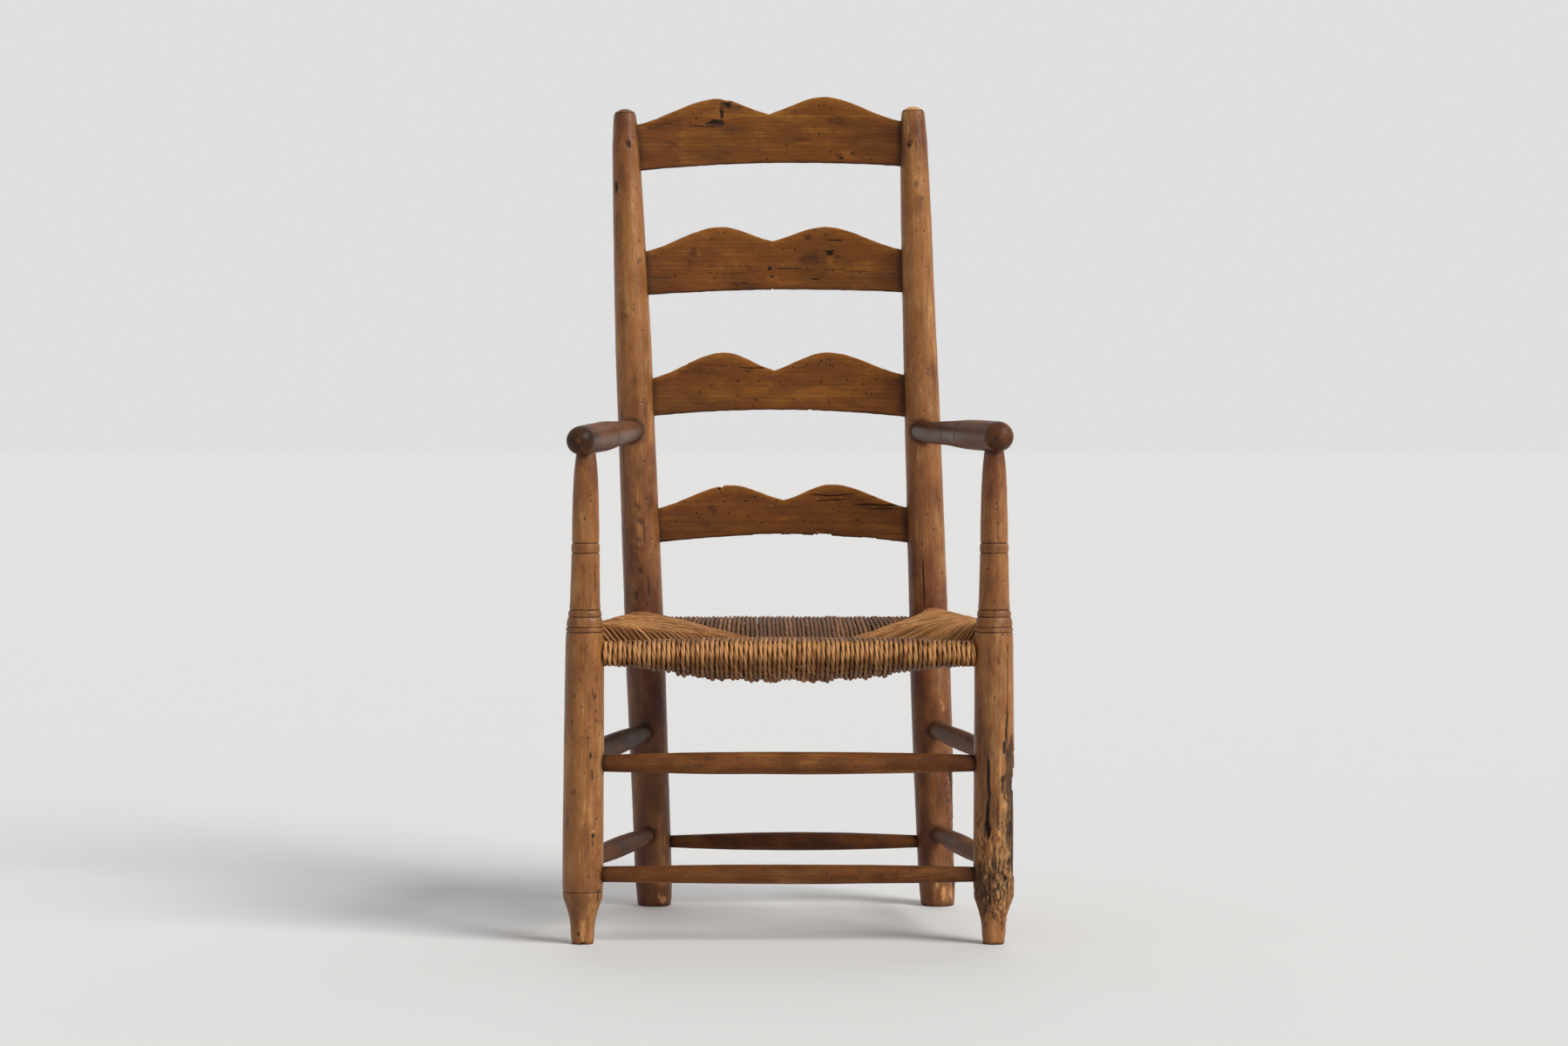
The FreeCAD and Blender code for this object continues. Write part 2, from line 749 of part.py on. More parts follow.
def main():
    os.makedirs("parts", exist_ok=True)
    posts = make_posts()
    nodes = make_stretchers(posts)
    nodes.update(make_arms(posts))
    nodes.update(make_slats(posts))
    nodes["slat_pegs"] = make_pegs(posts, nodes)
    nodes.update(make_seat(posts))
    for name, post in posts.items():
        nodes[name] = post.solid
    for name, shape in sorted(nodes.items()):
        box = shape.BoundBox
        print(name, len(shape.Solids), shape.isValid(), round(shape.Volume / 1000, 1),
              [round(v, 1) for v in (box.XMin, box.XMax, box.YMin, box.YMax, box.ZMin, box.ZMax)])
        shape.exportStep("parts/" + name + ".step")


main()
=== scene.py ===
import json
import math
from collections import namedtuple
from functools import partial

import bpy
import numpy as np
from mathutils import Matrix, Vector
from mathutils.bvhtree import BVHTree
from mathutils.kdtree import KDTree


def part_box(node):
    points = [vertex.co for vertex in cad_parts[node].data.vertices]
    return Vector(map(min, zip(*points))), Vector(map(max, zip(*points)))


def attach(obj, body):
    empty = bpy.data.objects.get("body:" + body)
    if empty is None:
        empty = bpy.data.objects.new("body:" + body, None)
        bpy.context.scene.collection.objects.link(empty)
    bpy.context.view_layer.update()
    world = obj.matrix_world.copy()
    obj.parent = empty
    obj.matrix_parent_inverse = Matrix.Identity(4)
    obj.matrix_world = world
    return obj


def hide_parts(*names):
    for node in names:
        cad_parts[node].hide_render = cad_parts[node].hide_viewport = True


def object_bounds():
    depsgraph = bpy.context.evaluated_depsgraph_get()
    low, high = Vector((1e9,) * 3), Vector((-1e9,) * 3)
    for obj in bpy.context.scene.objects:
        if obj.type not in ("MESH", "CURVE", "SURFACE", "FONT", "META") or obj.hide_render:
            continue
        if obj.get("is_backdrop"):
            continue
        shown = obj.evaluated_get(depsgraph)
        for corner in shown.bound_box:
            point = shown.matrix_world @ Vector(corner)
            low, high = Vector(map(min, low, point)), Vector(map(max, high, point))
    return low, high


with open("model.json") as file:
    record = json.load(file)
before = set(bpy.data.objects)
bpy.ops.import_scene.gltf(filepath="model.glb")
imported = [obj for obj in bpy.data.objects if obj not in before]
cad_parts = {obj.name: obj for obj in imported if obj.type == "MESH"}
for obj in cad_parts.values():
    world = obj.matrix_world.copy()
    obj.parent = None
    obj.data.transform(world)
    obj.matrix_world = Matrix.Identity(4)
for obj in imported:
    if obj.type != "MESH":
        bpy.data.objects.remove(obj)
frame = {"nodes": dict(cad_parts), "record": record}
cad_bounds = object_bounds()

# The looks of an old ladderback armchair with a rush seat: worn turned posts, shaved slats,
# polished arms and hand-twisted cords. Lengths are in metres and sizes are named in
# millimetres. +Z is up, the chair faces -Y, and left and right are as seen from the front.

bl_info = {
    "name": "Ladderback armchair",
    "version": (1, 0, 0),
    "blender": (4, 5, 0),
    "location": "3D View > Sidebar > Chair",
    "description": "Finishes the worn wood and weaves the rush seat of a ladderback armchair",
    "category": "Object",
}

MM = 0.001
BODY = "root"

# The camera of the photograph
PHOTO_WIDTH = 1799              # in pixels
PHOTO_FOCAL = 4110.5            # focal length, in pixels
SENSOR_WIDTH = 36.0
CAMERA_PLACE = (-0.00544, -4.9758, 0.7061)
CAMERA_PITCH = 0.029955         # looking down, in radians

# How a turned piece is read off its node
READ_STEP = 0.25 * MM
READ_REACH = 0.09               # rays start this far from the axis
READ_RAYS = 12
END_SLICE = 0.6 * MM            # corners this near to an end give the end's middle
BLEND_WIDTH = 4.0 * MM          # facets of the outline are smoothed over this length
WORN_FOOT = {"front_right_post": 0.12}    # height up to which wear has rubbed out the lines
LINE_SIDE = 5                   # a scribed line is deeper than the steps this far beside it
LINE_DEPTH = 0.25 * MM          # by more than this
LINE_HALF = 0.75 * MM           # half its width
LINE_CUT = 1.1 * MM             # how deep it is worn
LINE_APART = 4                  # steps between the cuts of two lines
LINE_STATIONS = np.linspace(-2.5, 2.5, 11) * LINE_HALF
BEAD_GAP = 17 * MM              # between two lines this near to each other lies a bead
BEAD_RISE = 0.5 * MM
FOOT_SPARE = 2.0 * MM           # a post is drawn this far through the floor, then cut level
BEND_DETAIL = 0.35              # how much closer stations lie where the outline bends
BEND_LIMIT = 4                  # and by how many times at most
STATION_GAP = 0.1 * MM


def linear(hex_colour):
    """An sRGB hex colour as linear red, green and blue."""
    shares = [int(hex_colour[i:i + 2], 16) / 255 for i in (1, 3, 5)]
    return tuple(c / 12.92 if c <= 0.04045 else ((c + 0.055) / 1.055) ** 2.4 for c in shares)


def unit(vector):
    return np.asarray(vector, float) / np.linalg.norm(vector)


def unit_rows(rows):
    return rows / np.linalg.norm(rows, axis=1)[:, None]


def length_so_far(line):
    """How far along a line of points each one lies."""
    return np.concatenate([[0], np.cumsum(np.linalg.norm(np.diff(line, axis=0), axis=1))])


def read_rows(items, key):
    """A vector of each corner of a mesh, as rows."""
    rows = np.empty(len(items) * 3)
    items.foreach_get(key, rows)
    return rows.reshape(-1, 3)


def lattice_noise(points, cell, seed):
    """Smooth noise from -1 to 1. cell is the size of its features along each direction."""
    place = points / np.asarray(cell, float)
    low = np.floor(place).astype(np.int64)
    part = place - low
    part = part * part * (3 - 2 * part)
    total = np.zeros(points.shape[:-1])
    for corner in np.ndindex(2, 2, 2):
        key = low + np.array(corner)
        mixed = key[..., 0] * 73856093 ^ key[..., 1] * 19349663 ^ key[..., 2] * 83492791
        mixed = (mixed ^ (seed * 668265263)) & 0x7FFFFFFF
        mixed = (mixed ^ (mixed >> 13)) * 1274126177 & 0x7FFFFFFF
        value = ((mixed ^ (mixed >> 16)) & 0xFFFF) / 32767.5 - 1
        weight = np.prod(np.where(corner, part, 1 - part), axis=-1)
        total += value * weight
    return total


def layered_noise(points, seed, *layers):
    """A sum of noises: the share of each, its cell and what it adds to the seed."""
    return sum(share * lattice_noise(points, cell, seed + more) for share, cell, more in layers)


def soft_step(value, low, high):
    """0 below low, 1 above high and smooth between them."""
    share = np.clip((value - low) / (high - low), 0, 1)
    return share * share * (3 - 2 * share)


# Meshes

def mesh_piece(name, points, faces, replaced, slot, material, **attributes):
    """A shown piece: faces is a list of arrays, one for each number of corners."""
    mesh = bpy.data.meshes.new(name)
    points = np.asarray(points, np.float32).reshape(-1, 3)
    faces = [np.asarray(group, np.int32) for group in faces if len(group)]
    corners = np.concatenate([group.ravel() for group in faces])
    sizes = np.concatenate([np.full(len(group), group.shape[1], np.int32) for group in faces])
    mesh.vertices.add(len(points))
    mesh.vertices.foreach_set("co", points.ravel())
    mesh.loops.add(len(corners))
    mesh.loops.foreach_set("vertex_index", corners)
    mesh.polygons.add(len(sizes))
    mesh.polygons.foreach_set("loop_start", np.concatenate([[0], np.cumsum(sizes)[:-1]]))
    mesh.polygons.foreach_set("use_smooth", np.ones(len(sizes), bool))
    mesh.update(calc_edges=True)
    mesh.validate()
    for key, values in attributes.items():
        layer = mesh.attributes.new(key, "FLOAT_VECTOR", "POINT")
        layer.data.foreach_set("vector", np.asarray(values, np.float32).ravel())
    piece = bpy.data.objects.new(name, mesh)
    bpy.context.scene.collection.objects.link(piece)
    mesh.materials.append(material)
    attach(piece, BODY)
    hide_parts(*replaced)
    return piece


def node_surface(name):
    """A node's corners in metres, and a tree of its faces for casting rays."""
    mesh = frame["nodes"][name].data
    corners = read_rows(mesh.vertices, "co")
    tree = BVHTree.FromPolygons(corners.tolist(), [tuple(f.vertices) for f in mesh.polygons])
    return corners, tree


def axis_ends(corners, forward):
    """The middles of the two ends of a long round node, the first one against forward."""
    middle = corners.mean(axis=0)
    direction = np.linalg.svd(corners - middle, full_matrices=False)[2][0]
    direction = direction * np.sign(direction @ forward)
    along = (corners - middle) @ direction
    start = corners[along < along.min() + END_SLICE].mean(axis=0)
    end = corners[along > along.max() - END_SLICE].mean(axis=0)
    return start, end


def near_others(points, nodes, reach):
    """How close each point is to other nodes: 1 where they touch and 0 at reach."""
    close = np.zeros(len(points))
    for name in nodes:
        low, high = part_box(name)
        inside = np.all((points > np.array(low) - reach) & (points < np.array(high) + reach), axis=1)
        if not inside.any():
            continue
        tree = node_surface(name)[1]
        for i in np.nonzero(inside)[0]:
            found = tree.find_nearest(points[i], reach)
            if found[3] is not None:
                close[i] = max(close[i], 1 - found[3] / reach)
    return close


class Turned:
    """A turned piece read off its node: its axis and its radius along it.

    Angle 0 of its skin is towards face, and angles grow towards side.
    """

    def __init__(self, name, forward, face, foot=None):
        corners, tree = node_surface(name)
        self.name = name
        self.start, end = axis_ends(corners, np.array(forward, float))
        if foot is not None:
            self.start = np.array(foot, float)
        self.length = np.linalg.norm(end - self.start)
        self.along = unit(end - self.start)
        self.face = unit(np.array(face, float) - self.along * (self.along @ np.array(face)))
        self.side = np.cross(self.along, self.face)
        self.read(tree)

    def read(self, tree):
        """The largest radius round each station, so that holes don't count."""
        self.places = np.arange(READ_STEP / 2, self.length, READ_STEP)
        radii = np.zeros(len(self.places))
        outwards = [self.outward(a) for a in np.linspace(0, 2 * math.pi, READ_RAYS, False)]
        for i, place in enumerate(self.places):
            middle = self.start + self.along * place
            for outward in outwards:
                distance = tree.ray_cast(middle + outward * READ_REACH, -outward, READ_REACH)[3]
                if distance is not None:
                    radii[i] = max(radii[i], READ_REACH - distance)
        reach = int(round(BLEND_WIDTH / READ_STEP))
        window = np.hanning(2 * reach + 1)
        padded = np.pad(radii, reach, mode="edge")
        self.radii = np.convolve(padded, window / window.sum(), mode="valid")
        beside = np.pad(radii, LINE_SIDE, mode="edge")
        cut = np.minimum(beside[:-2 * LINE_SIDE], beside[2 * LINE_SIDE:]) - radii
        deep = np.nonzero(cut > LINE_DEPTH)[0]
        runs = np.split(deep, np.nonzero(np.diff(deep) > LINE_APART)[0] + 1) if len(deep) else []
        lines = [self.places[run[np.argmax(cut[run])]] for run in runs]
        lowest = max(3 * BLEND_WIDTH, WORN_FOOT.get(self.name, 0))
        self.lines = [p for p in lines if lowest < p < self.length - BLEND_WIDTH / 2]
        self.beads = np.zeros(len(self.places))
        for low, high in zip(self.lines, self.lines[1:]):
            if high - low < BEAD_GAP:
                share = np.clip((self.places - low) / (high - low), 0, 1)
                self.beads = np.maximum(self.beads, np.sin(math.pi * share))
        self.scribed = np.zeros(len(self.places))
        for line in self.lines:
            self.scribed += np.exp(-((self.places - line) / LINE_HALF) ** 2)
        # The smoothing filled the lines with half of their own depth, which LINE_CUT restores
        self.radii = self.radii + BEAD_RISE * self.beads - LINE_CUT * self.scribed

    def outward(self, angle):
        return self.face * math.cos(angle) + self.side * math.sin(angle)

    def lateral(self, angle, place):
        """An angle in degrees as mm round the skin, at a place in mm."""
        return math.radians(angle) * (np.interp(place * MM, self.places, self.radii) / MM)

    def stations(self, longest):
        """Places along the axis, closer together where the outline bends."""
        slope = np.gradient(self.radii, READ_STEP)
        bend = abs(np.gradient(slope, READ_STEP)) * BEND_DETAIL
        need = np.cumsum((1 / longest + np.clip(bend, 0, BEND_LIMIT / longest)) * READ_STEP)
        return np.interp(np.linspace(0, 1, int(need[-1]) + 2) * need[-1], need, self.places)


def skin_grid(turned, cell, segments, spare):
    """Stations, radii and angles of a turned piece's skin."""
    places = np.concatenate([line + LINE_STATIONS for line in turned.lines] + [turned.stations(cell)])
    places = np.sort(places[(places >= 0) & (places <= turned.length)])
    places = places[np.concatenate([[True], np.diff(places) > STATION_GAP])]
    places[0] = 0.0
    places[-1] = turned.length
    radii = np.interp(places, turned.places, turned.radii)
    if spare:
        places = np.concatenate([[-spare], places])
        radii = np.concatenate([radii[:1], radii])
    angles = np.linspace(-math.pi, math.pi, segments, endpoint=False)
    return places, radii, angles


def tube_faces(rows, columns):
    """Quads round a tube of rings, and the two rings that close it with fans."""
    first = np.arange(rows - 1)[:, None] * columns + np.arange(columns)[None, :]
    second = np.arange(rows - 1)[:, None] * columns + (np.arange(columns)[None, :] + 1) % columns
    quads = np.stack([first, second, second + columns, first + columns], axis=-1).reshape(-1, 4)
    ring = np.arange(columns)
    next_ring = (ring + 1) % columns
    low = np.stack([np.full(columns, rows * columns), next_ring, ring], axis=-1)
    last = (rows - 1) * columns
    high = np.stack([np.full(columns, rows * columns + 1), ring + last, next_ring + last], axis=-1)
    return [quads, np.concatenate([low, high])]


# Wear, on the flattened skin of a piece. lateral runs across the grain and along with it, both
# in mm. A mark's first four numbers are where it lies across, half its width, and where it
# starts and ends along, and the fifth is its depth. What a kind of mark gives back is how deep
# it is and how strong its tone is. The numbers of its noise are a share, a width and a length
# in mm, and what the layer adds to the seed.

MARK_MARGIN = 5.0               # a mark may reach this far past its own outline
LARGE_PIT = 2.2                 # half the width from which a pit's rim is torn along the grain
TORN_END = 22.0                 # over which a flake runs out at its ends
TONGUE_END = 14.0               # over which a scar does, between the tongues of wood
SCAR_SIDE = 5.0                 # over which its sides rise
WORM_SIZES = (0.75, 0.4)        # smallest radius of a worm hole and how much larger it may be
HOLE_DEPTH = 1.3


def grid_of(lateral, along, seed):
    return np.stack([lateral, along, np.full_like(along, seed)], axis=-1)


def skin_noise(lateral, along, seed, *layers):
    layers = [(share, (wide, long, 1.0), more) for share, wide, long, more in layers]
    return layered_noise(grid_of(lateral, along, seed), seed, *layers)


def patch(lateral, along, spec, steep, fade, edge, low, high):
    """How far inside an area each point lies, from 0 to 1. steep sharpens its sides, fade is
    how long its ends are, and edge is the noise that makes it ragged."""
    at, half, start, end = spec[:4]
    side = (1 - abs(lateral - at) / half) * steep
    ends = np.minimum(along - start, end - along) / fade
    return soft_step(np.minimum(side, ends) + edge, low, high)


def crack(lateral, along, spec, seed):
    """A split that follows the grain and sways by the sixth number."""
    at, half, start, end, depth, sway = spec
    bends = skin_noise(along, np.zeros_like(along), seed, (1.0, 28.0, 1.0, 0), (0.25, 7.0, 1.0, 1))
    reach = np.clip(np.minimum(along - start, end - along) / (0.2 * (end - start)), 0, 1)
    apart = abs(lateral - at - sway * bends)
    cut = np.clip(1.2 - apart / (half * np.maximum(reach, 0.05) ** 0.5), 0, 1) * (reach > 0)
    return depth * cut * reach ** 0.5, np.clip(1.5 * cut, 0, 1) * reach ** 0.3


def pit(lateral, along, spec, seed):
    """A worn hole, a knot or a small stain, ragged at its rim."""
    at, half, start, end, depth = spec
    long = (end - start) / 2
    rim = [(0.3, 0.7 * half, 0.7 * long, 0)]
    if half > LARGE_PIT:
        rim.append((0.4, 1.2, 5.0, 1))
    apart = np.hypot((lateral - at) / half, (along - (start + end) / 2) / long)
    inside = np.clip(1.2 - apart + skin_noise(lateral, along, seed, *rim), 0, 1)
    return depth * soft_step(inside, 0.0, 0.8), soft_step(inside, 0.05, 0.75)


def flake(lateral, along, spec, seed):
    """An area where the outer wood has crumbled away and left torn fibres."""
    start, end, depth = spec[2:]
    edge = skin_noise(lateral, along, seed, (0.55, 5.0, 26.0, 0), (0.275, 2.2, 9.0, 1))
    fade = min(TORN_END, 0.4 * (end - start))
    inside = patch(lateral, along, spec, 2.2, fade, edge, 0.15, 0.55)
    fibres = skin_noise(lateral, along, seed, (1.0, 2.4, 34.0, 2), (0.7, 1.6, 5.0, 3))
    return depth * inside * (0.75 + 0.35 * fibres), inside * np.clip(0.75 + 0.6 * fibres, 0, 1)


def scar(lateral, along, spec, seed):
    """An area where the outer wood has come off and left a smooth dark core."""
    at, half, start, end, depth = spec
    # Tongues of wood run into it from both ends, and its sides sway
    tongues = skin_noise(lateral, along, seed, (13.0, 3.4, 90.0, 0), (7.8, 1.3, 40.0, 3))
    ends = (np.minimum(along - start, end - along) + tongues) / TONGUE_END
    swayed = half * (1 + skin_noise(along, np.zeros_like(along), seed, (0.35, 24.0, 1.0, 0)))
    side = (swayed - abs(lateral - at)) / SCAR_SIDE
    edge = skin_noise(lateral, along, seed, (0.45, 3.0, 7.0, 4), (0.27, 1.2, 3.0, 1))
    inside = soft_step(np.minimum(side, ends) + edge, 0.1, 0.4)
    fine = skin_noise(lateral, along, seed, (1.0, 2.6, 22.0, 2))
    return depth * inside * (0.85 + 0.25 * fine), inside * np.clip(0.86 + 0.3 * fine, 0, 1)


def crumbs(lateral, along, spec, seed):
    """Crumbly wood: many small pits or splinters inside an area."""
    start, end, depth = spec[2:]
    edge = skin_noise(lateral, along, seed, (0.3, 7.0, 14.0, 0))
    area = patch(lateral, along, spec, 1.5, 0.35 * (end - start), edge, 0.0, 0.6)
    fine = skin_noise(lateral, along, seed, (1.0, 2.6, 6.5, 1), (0.7, 1.3, 2.8, 2))
    return depth * area * soft_step(fine, -0.5, 0.6), area * soft_step(fine, 0.05, 0.6)


def rub(lateral, along, spec, seed):
    """An area polished, faded or soiled, with soft ragged edges. It has no depth."""
    start, end = spec[2:]
    edge = skin_noise(lateral, along, seed, (0.55, 6.0, 22.0, 0), (0.275, 2.0, 6.0, 1))
    inside = patch(lateral, along, spec, 1.0, 0.3 * (end - start), edge, 0.0, 0.9)
    return np.zeros_like(inside), inside


def worm_holes(lateral, along, places, seed):
    """Round holes about two millimetres wide, no two quite alike."""
    inside = np.zeros_like(lateral)
    for number, (at, place) in enumerate(places):
        wide = WORM_SIZES[0] + WORM_SIZES[1] * ((number * 0.618 + seed * 0.37) % 1)
        apart = np.hypot(lateral - at, along - place)
        inside = np.maximum(inside, 1 - soft_step(apart, wide - 0.2, wide + 0.55))
    return inside


def weather(lateral, along, around, marks, holes, seed, swell, fibre):
    """How deep a worn skin lies under the plain one, in mm, and its wear as three shares:
    hollow, bare and grime."""
    depth = layered_noise(around, seed, (-swell, (17.0, 17.0, 75.0), 0),
                          (-0.3 * swell, (6.0, 6.0, 15.0), 2), (-fibre, (2.2, 2.2, 42.0), 1))
    shades = np.zeros(lateral.shape + (3,))
    for number, (kind, tone, *spec) in enumerate(marks):
        at, half, start, end = spec[:4]
        near = abs(lateral - at) < 1.7 * half + MARK_MARGIN
        near &= (along > start - MARK_MARGIN) & (along < end + MARK_MARGIN)
        if near.any():
            sunk, inside = kind(lateral[near], along[near], spec, seed + 11 * number + 7)
            depth[near] += sunk
            shades[near] = np.maximum(shades[near], inside[:, None] * np.array(tone))
    inside = worm_holes(lateral, along, holes, seed)
    shades[..., 0] = np.maximum(shades[..., 0], inside)
    return depth + HOLE_DEPTH * inside, shades


# What a mark does to the colour: shares of hollow, bare and grime
DARK = (1.0, 0.0, 0.3)
BLACK = (0.75, 0.0, 1.0)
KNOT = (0.35, 0.0, 0.55)
BURNT = (0.05, 0.0, 0.5)
CRUMBLED = (0.4, 0.0, 0.55)
CHARRED = (0.25, 0.0, 0.97)
SMOKY = (0.0, 0.0, 0.34)
TORN = (0.1, 0.85, 0.15)
LICHEN = (0.0, 0.7, 0.45)
FRESH = (0.0, 0.85, 0.0)
PALE = (0.0, 0.6, 0.0)
FADED = (0.0, 0.3, 0.0)

# Marks on the posts: kind, tone, angle in degrees from the front, then mm
TURNED_MARKS = {
    "front_left_post": [
        (pit, DARK, -2, 1.9, 567.4, 571.2, 1.2), (crack, DARK, 47.5, 0.7, 479.8, 490.3, 0.8, 0.5),
        (crack, BURNT, 24.9, 0.58, 446.5, 473, 0.5, 0.8),
        (crack, BURNT, -4.2, 0.58, 392.3, 410.8, 0.5, 1.2), (pit, BURNT, 11.4, 1.4, 396.9, 403.9, 0.7),
        (pit, BURNT, -9.8, 2.3, 352.4, 358, 0.6), (pit, DARK, 35.3, 2.3, 327.5, 335.9, 1.2),
        (crack, DARK, 27.2, 0.81, 333, 346.9, 0.8, 0.8), (pit, BURNT, -28.3, 2.6, 329.3, 337.5, 0.5),
        (pit, DARK, 22.5, 2.1, 248.9, 259.5, 1.4), (crack, DARK, 27.2, 1.2, 220.4, 235.5, 1.2, 0.8),
        (pit, BURNT, 41.3, 3, 349, 360.6, 0.6), (pit, BURNT, -24.4, 3.5, 199.5, 211.1, 0.5),
        (crack, BURNT, 34.3, 0.81, 200.5, 214.3, 0.6, 0.8), (pit, PALE, 32.5, 4, 149.8, 155.8, 0.6),
        (pit, DARK, 33.8, 2.6, 142.8, 150.2, 1.8), (crack, DARK, 31.1, 0.93, 131.9, 142.4, 1, 0.6),
        (crack, BURNT, 52.8, 1.2, 118.2, 130, 0.8, 0.6), (pit, BURNT, -45.2, 1.9, 167.5, 173.1, 0.5),
        (crack, DARK, 52.9, 1.4, 57.1, 75.5, 1.8, 1.2), (rub, FADED, 37.6, 13.9, 66.2, 73.5),
        (rub, PALE, 9.4, 5.8, 10.8, 36.9), (rub, FADED, 49, 5.8, -4.5, 48.4),
        (pit, DARK, -19.8, 2.3, 12.6, 17.2, 1), (pit, BLACK, 6.6, 8.1, -2.3, 3.7, 3),
    ],
    "front_right_post": [
        (crack, DARK, 43.1, 1.1, 387.9, 403.5, 1.6, 0.4),
        (crack, DARK, 39.8, 0.58, 314.2, 388.4, 0.8, 0.9), (crack, BURNT, 25.4, 0.46, 333, 388.7, 0.4, 1),
        (crack, DARK, 39.2, 1.6, 267.7, 324.7, 2.6, 2.2), (scar, CHARRED, 63, 20, 196, 276, 2.0),
        (scar, CHARRED, 78, 18, 88, 236, 2.0), (flake, TORN, 31, 4, 138, 220, 0.5),
        (crumbs, CRUMBLED, 0, 70, 22, 118, 1.9), (crumbs, TORN, 20, 36, 24, 150, 0.5),
        (crumbs, DARK, 26, 24, 60, 124, 0.8), (crumbs, CRUMBLED, 30, 20, 60, 215, 1.5),
        (crumbs, FRESH, 34, 15, 40, 212, 0.3), (crumbs, CRUMBLED, -34, 18, 60, 190, 1.0),
        (rub, SMOKY, -22, 14, 130, 330), (rub, SMOKY, -34, 30, 30, 150),
        (flake, TORN, 27.1, 3.3, 263.4, 291.2, 0.9), (flake, TORN, 17.3, 1.9, 146.2, 268.2, 0.8),
        (crack, DARK, -19, 2.6, 190, 255, 2.6, 1.5), (crack, DARK, -22, 3.2, 142.5, 200, 2.8, 1),
        (pit, DARK, -23.6, 5.1, 143.7, 169.3, 4), (flake, LICHEN, 34, 10, 72, 180, 1),
        (flake, TORN, 13.9, 5.8, 82.3, 146.3, 0.8), (pit, DARK, 37.1, 4.9, 83.8, 94.4, 2.4),
        (pit, BURNT, 54.4, 1.9, 106.1, 115.3, 1.4), (flake, BURNT, -25.8, 10.5, 34.1, 105.4, 0.7),
        (crack, DARK, 37.6, 0.81, 17.3, 34.1, 1.2, 0.6), (crack, DARK, 0, 0.93, 89.4, 121.9, 1.2, 1.2),
        (crack, DARK, 13.8, 0.93, 86.9, 121.9, 1.4, 1.6), (crack, DARK, -18.1, 1.1, 53.8, 72.9, 1.2, 1.2),
        (crack, DARK, -35.6, 0.93, 63, 81.7, 1, 1.2), (crack, DARK, 9.3, 0.93, 46.6, 66, 1.2, 1.6),
        (crack, DARK, 28.5, 0.93, 58.4, 72.7, 1.2, 1.2), (rub, FADED, -6.2, 9.3, -1, 34.5),
        (pit, BLACK, 9.7, 9.3, -2, 1.8, 2.6), (pit, BURNT, -3.9, 1.4, 326.8, 335, 0.9),
        (pit, BURNT, 9.2, 1.9, 373.8, 385.4, 0.5),
    ],
    "back_left_post": [
        (pit, BURNT, 12.2, 4.3, 1092.4, 1103, 0.5), (pit, DARK, 18.2, 1.8, 1093.7, 1100.3, 0.8),
        (pit, BLACK, -48.8, 3.8, 1028.7, 1048.7, 1.2), (pit, BURNT, 38.8, 3, 925.7, 936.9, 0.5),
        (pit, DARK, 31.2, 1.1, 924.9, 932.5, 0.6), (pit, BURNT, -19.8, 3.8, 846.1, 854.9, 0.5),
        (crack, BURNT, -15.9, 0.75, 863, 871.9, 0.4, 1), (pit, BURNT, -11.8, 4.5, 570.9, 579.9, 2),
        (pit, KNOT, -1.2, 5.3, 547.5, 559.1, 1.4), (pit, KNOT, -8.6, 4, 522.2, 530.8, 1.4),
        (pit, KNOT, -6.8, 4, 510.1, 518.7, 1.4), (pit, KNOT, -5, 5, 476.8, 489.4, 1.4),
        (pit, KNOT, -18.4, 4.5, 438.7, 456.3, 1.4), (crack, DARK, 15.2, 0.75, 517.7, 559, 0.7, 1.2),
        (crack, DARK, 19.1, 0.88, 442.4, 477.5, 0.8, 1.2), (crack, BURNT, 13.5, 0.75, 613, 628, 0.5, 0.8),
        (rub, SMOKY, -21.9, 11.3, 412.3, 582.9), (rub, FADED, 51.3, 7.5, 660.6, 733.6),
        (pit, TORN, 34.2, 6.3, 3.9, 13.9, 1.4), (pit, TORN, 18.6, 1.9, 9.3, 19.3, 1),
    ],
    "back_right_post": [
        (rub, PALE, -24.6, 2.8, 1111.7, 1130.8), (pit, DARK, -22.1, 3, 1095.8, 1104.8, 1.4),
        (crack, BURNT, 5.9, 1.2, 1088.8, 1105.3, 0.6, 0.8),
        (crack, BURNT, -21.8, 1, 1101.6, 1116.8, 0.6, 0.8), (pit, BURNT, 3.8, 3.3, 1035.2, 1046.4, 0.4),
        (pit, BURNT, 38.6, 2, 1042.6, 1048.6, 0.4), (rub, FADED, 14.4, 12.5, 1020.6, 1061.1),
        (rub, SMOKY, 3.9, 10, 985.3, 1024.4), (pit, BURNT, 39.3, 3, 835.6, 845.6, 0.5),
        (pit, PALE, -2.6, 1.1, 789.4, 793.4, 0.3), (pit, PALE, -3.3, 1.1, 740.8, 744.8, 0.3),
        (crack, DARK, -14.1, 1.1, 427.5, 497.6, 2.2, 0.8), (pit, PALE, 62.1, 1.5, 317.5, 325.1, 0.4),
        (pit, PALE, 34.8, 1.9, 279.5, 289.5, 0.4), (pit, PALE, 26.6, 1.5, 289.6, 297.2, 0.4),
        (rub, PALE, 33, 3.8, 277, 294.5), (flake, TORN, 74, 8, 62, 170, 1.2),
        (scar, CHARRED, 90, 16, 30, 205, 1.8), (crumbs, CRUMBLED, 60, 16, 20, 200, 1.2),
        (crack, DARK, 67.8, 1.9, 107.1, 162.4, 2.6, 1.2), (flake, FRESH, 50.1, 5, 5.7, 29.7, 1.4),
        (flake, FRESH, 20.9, 3.8, 5.5, 26.9, 1.2), (pit, FRESH, 1.4, 2.5, 25.3, 36.5, 1),
        (crack, BURNT, 30.3, 0.88, 59.3, 74.2, 0.8, 0.8),
    ],
}

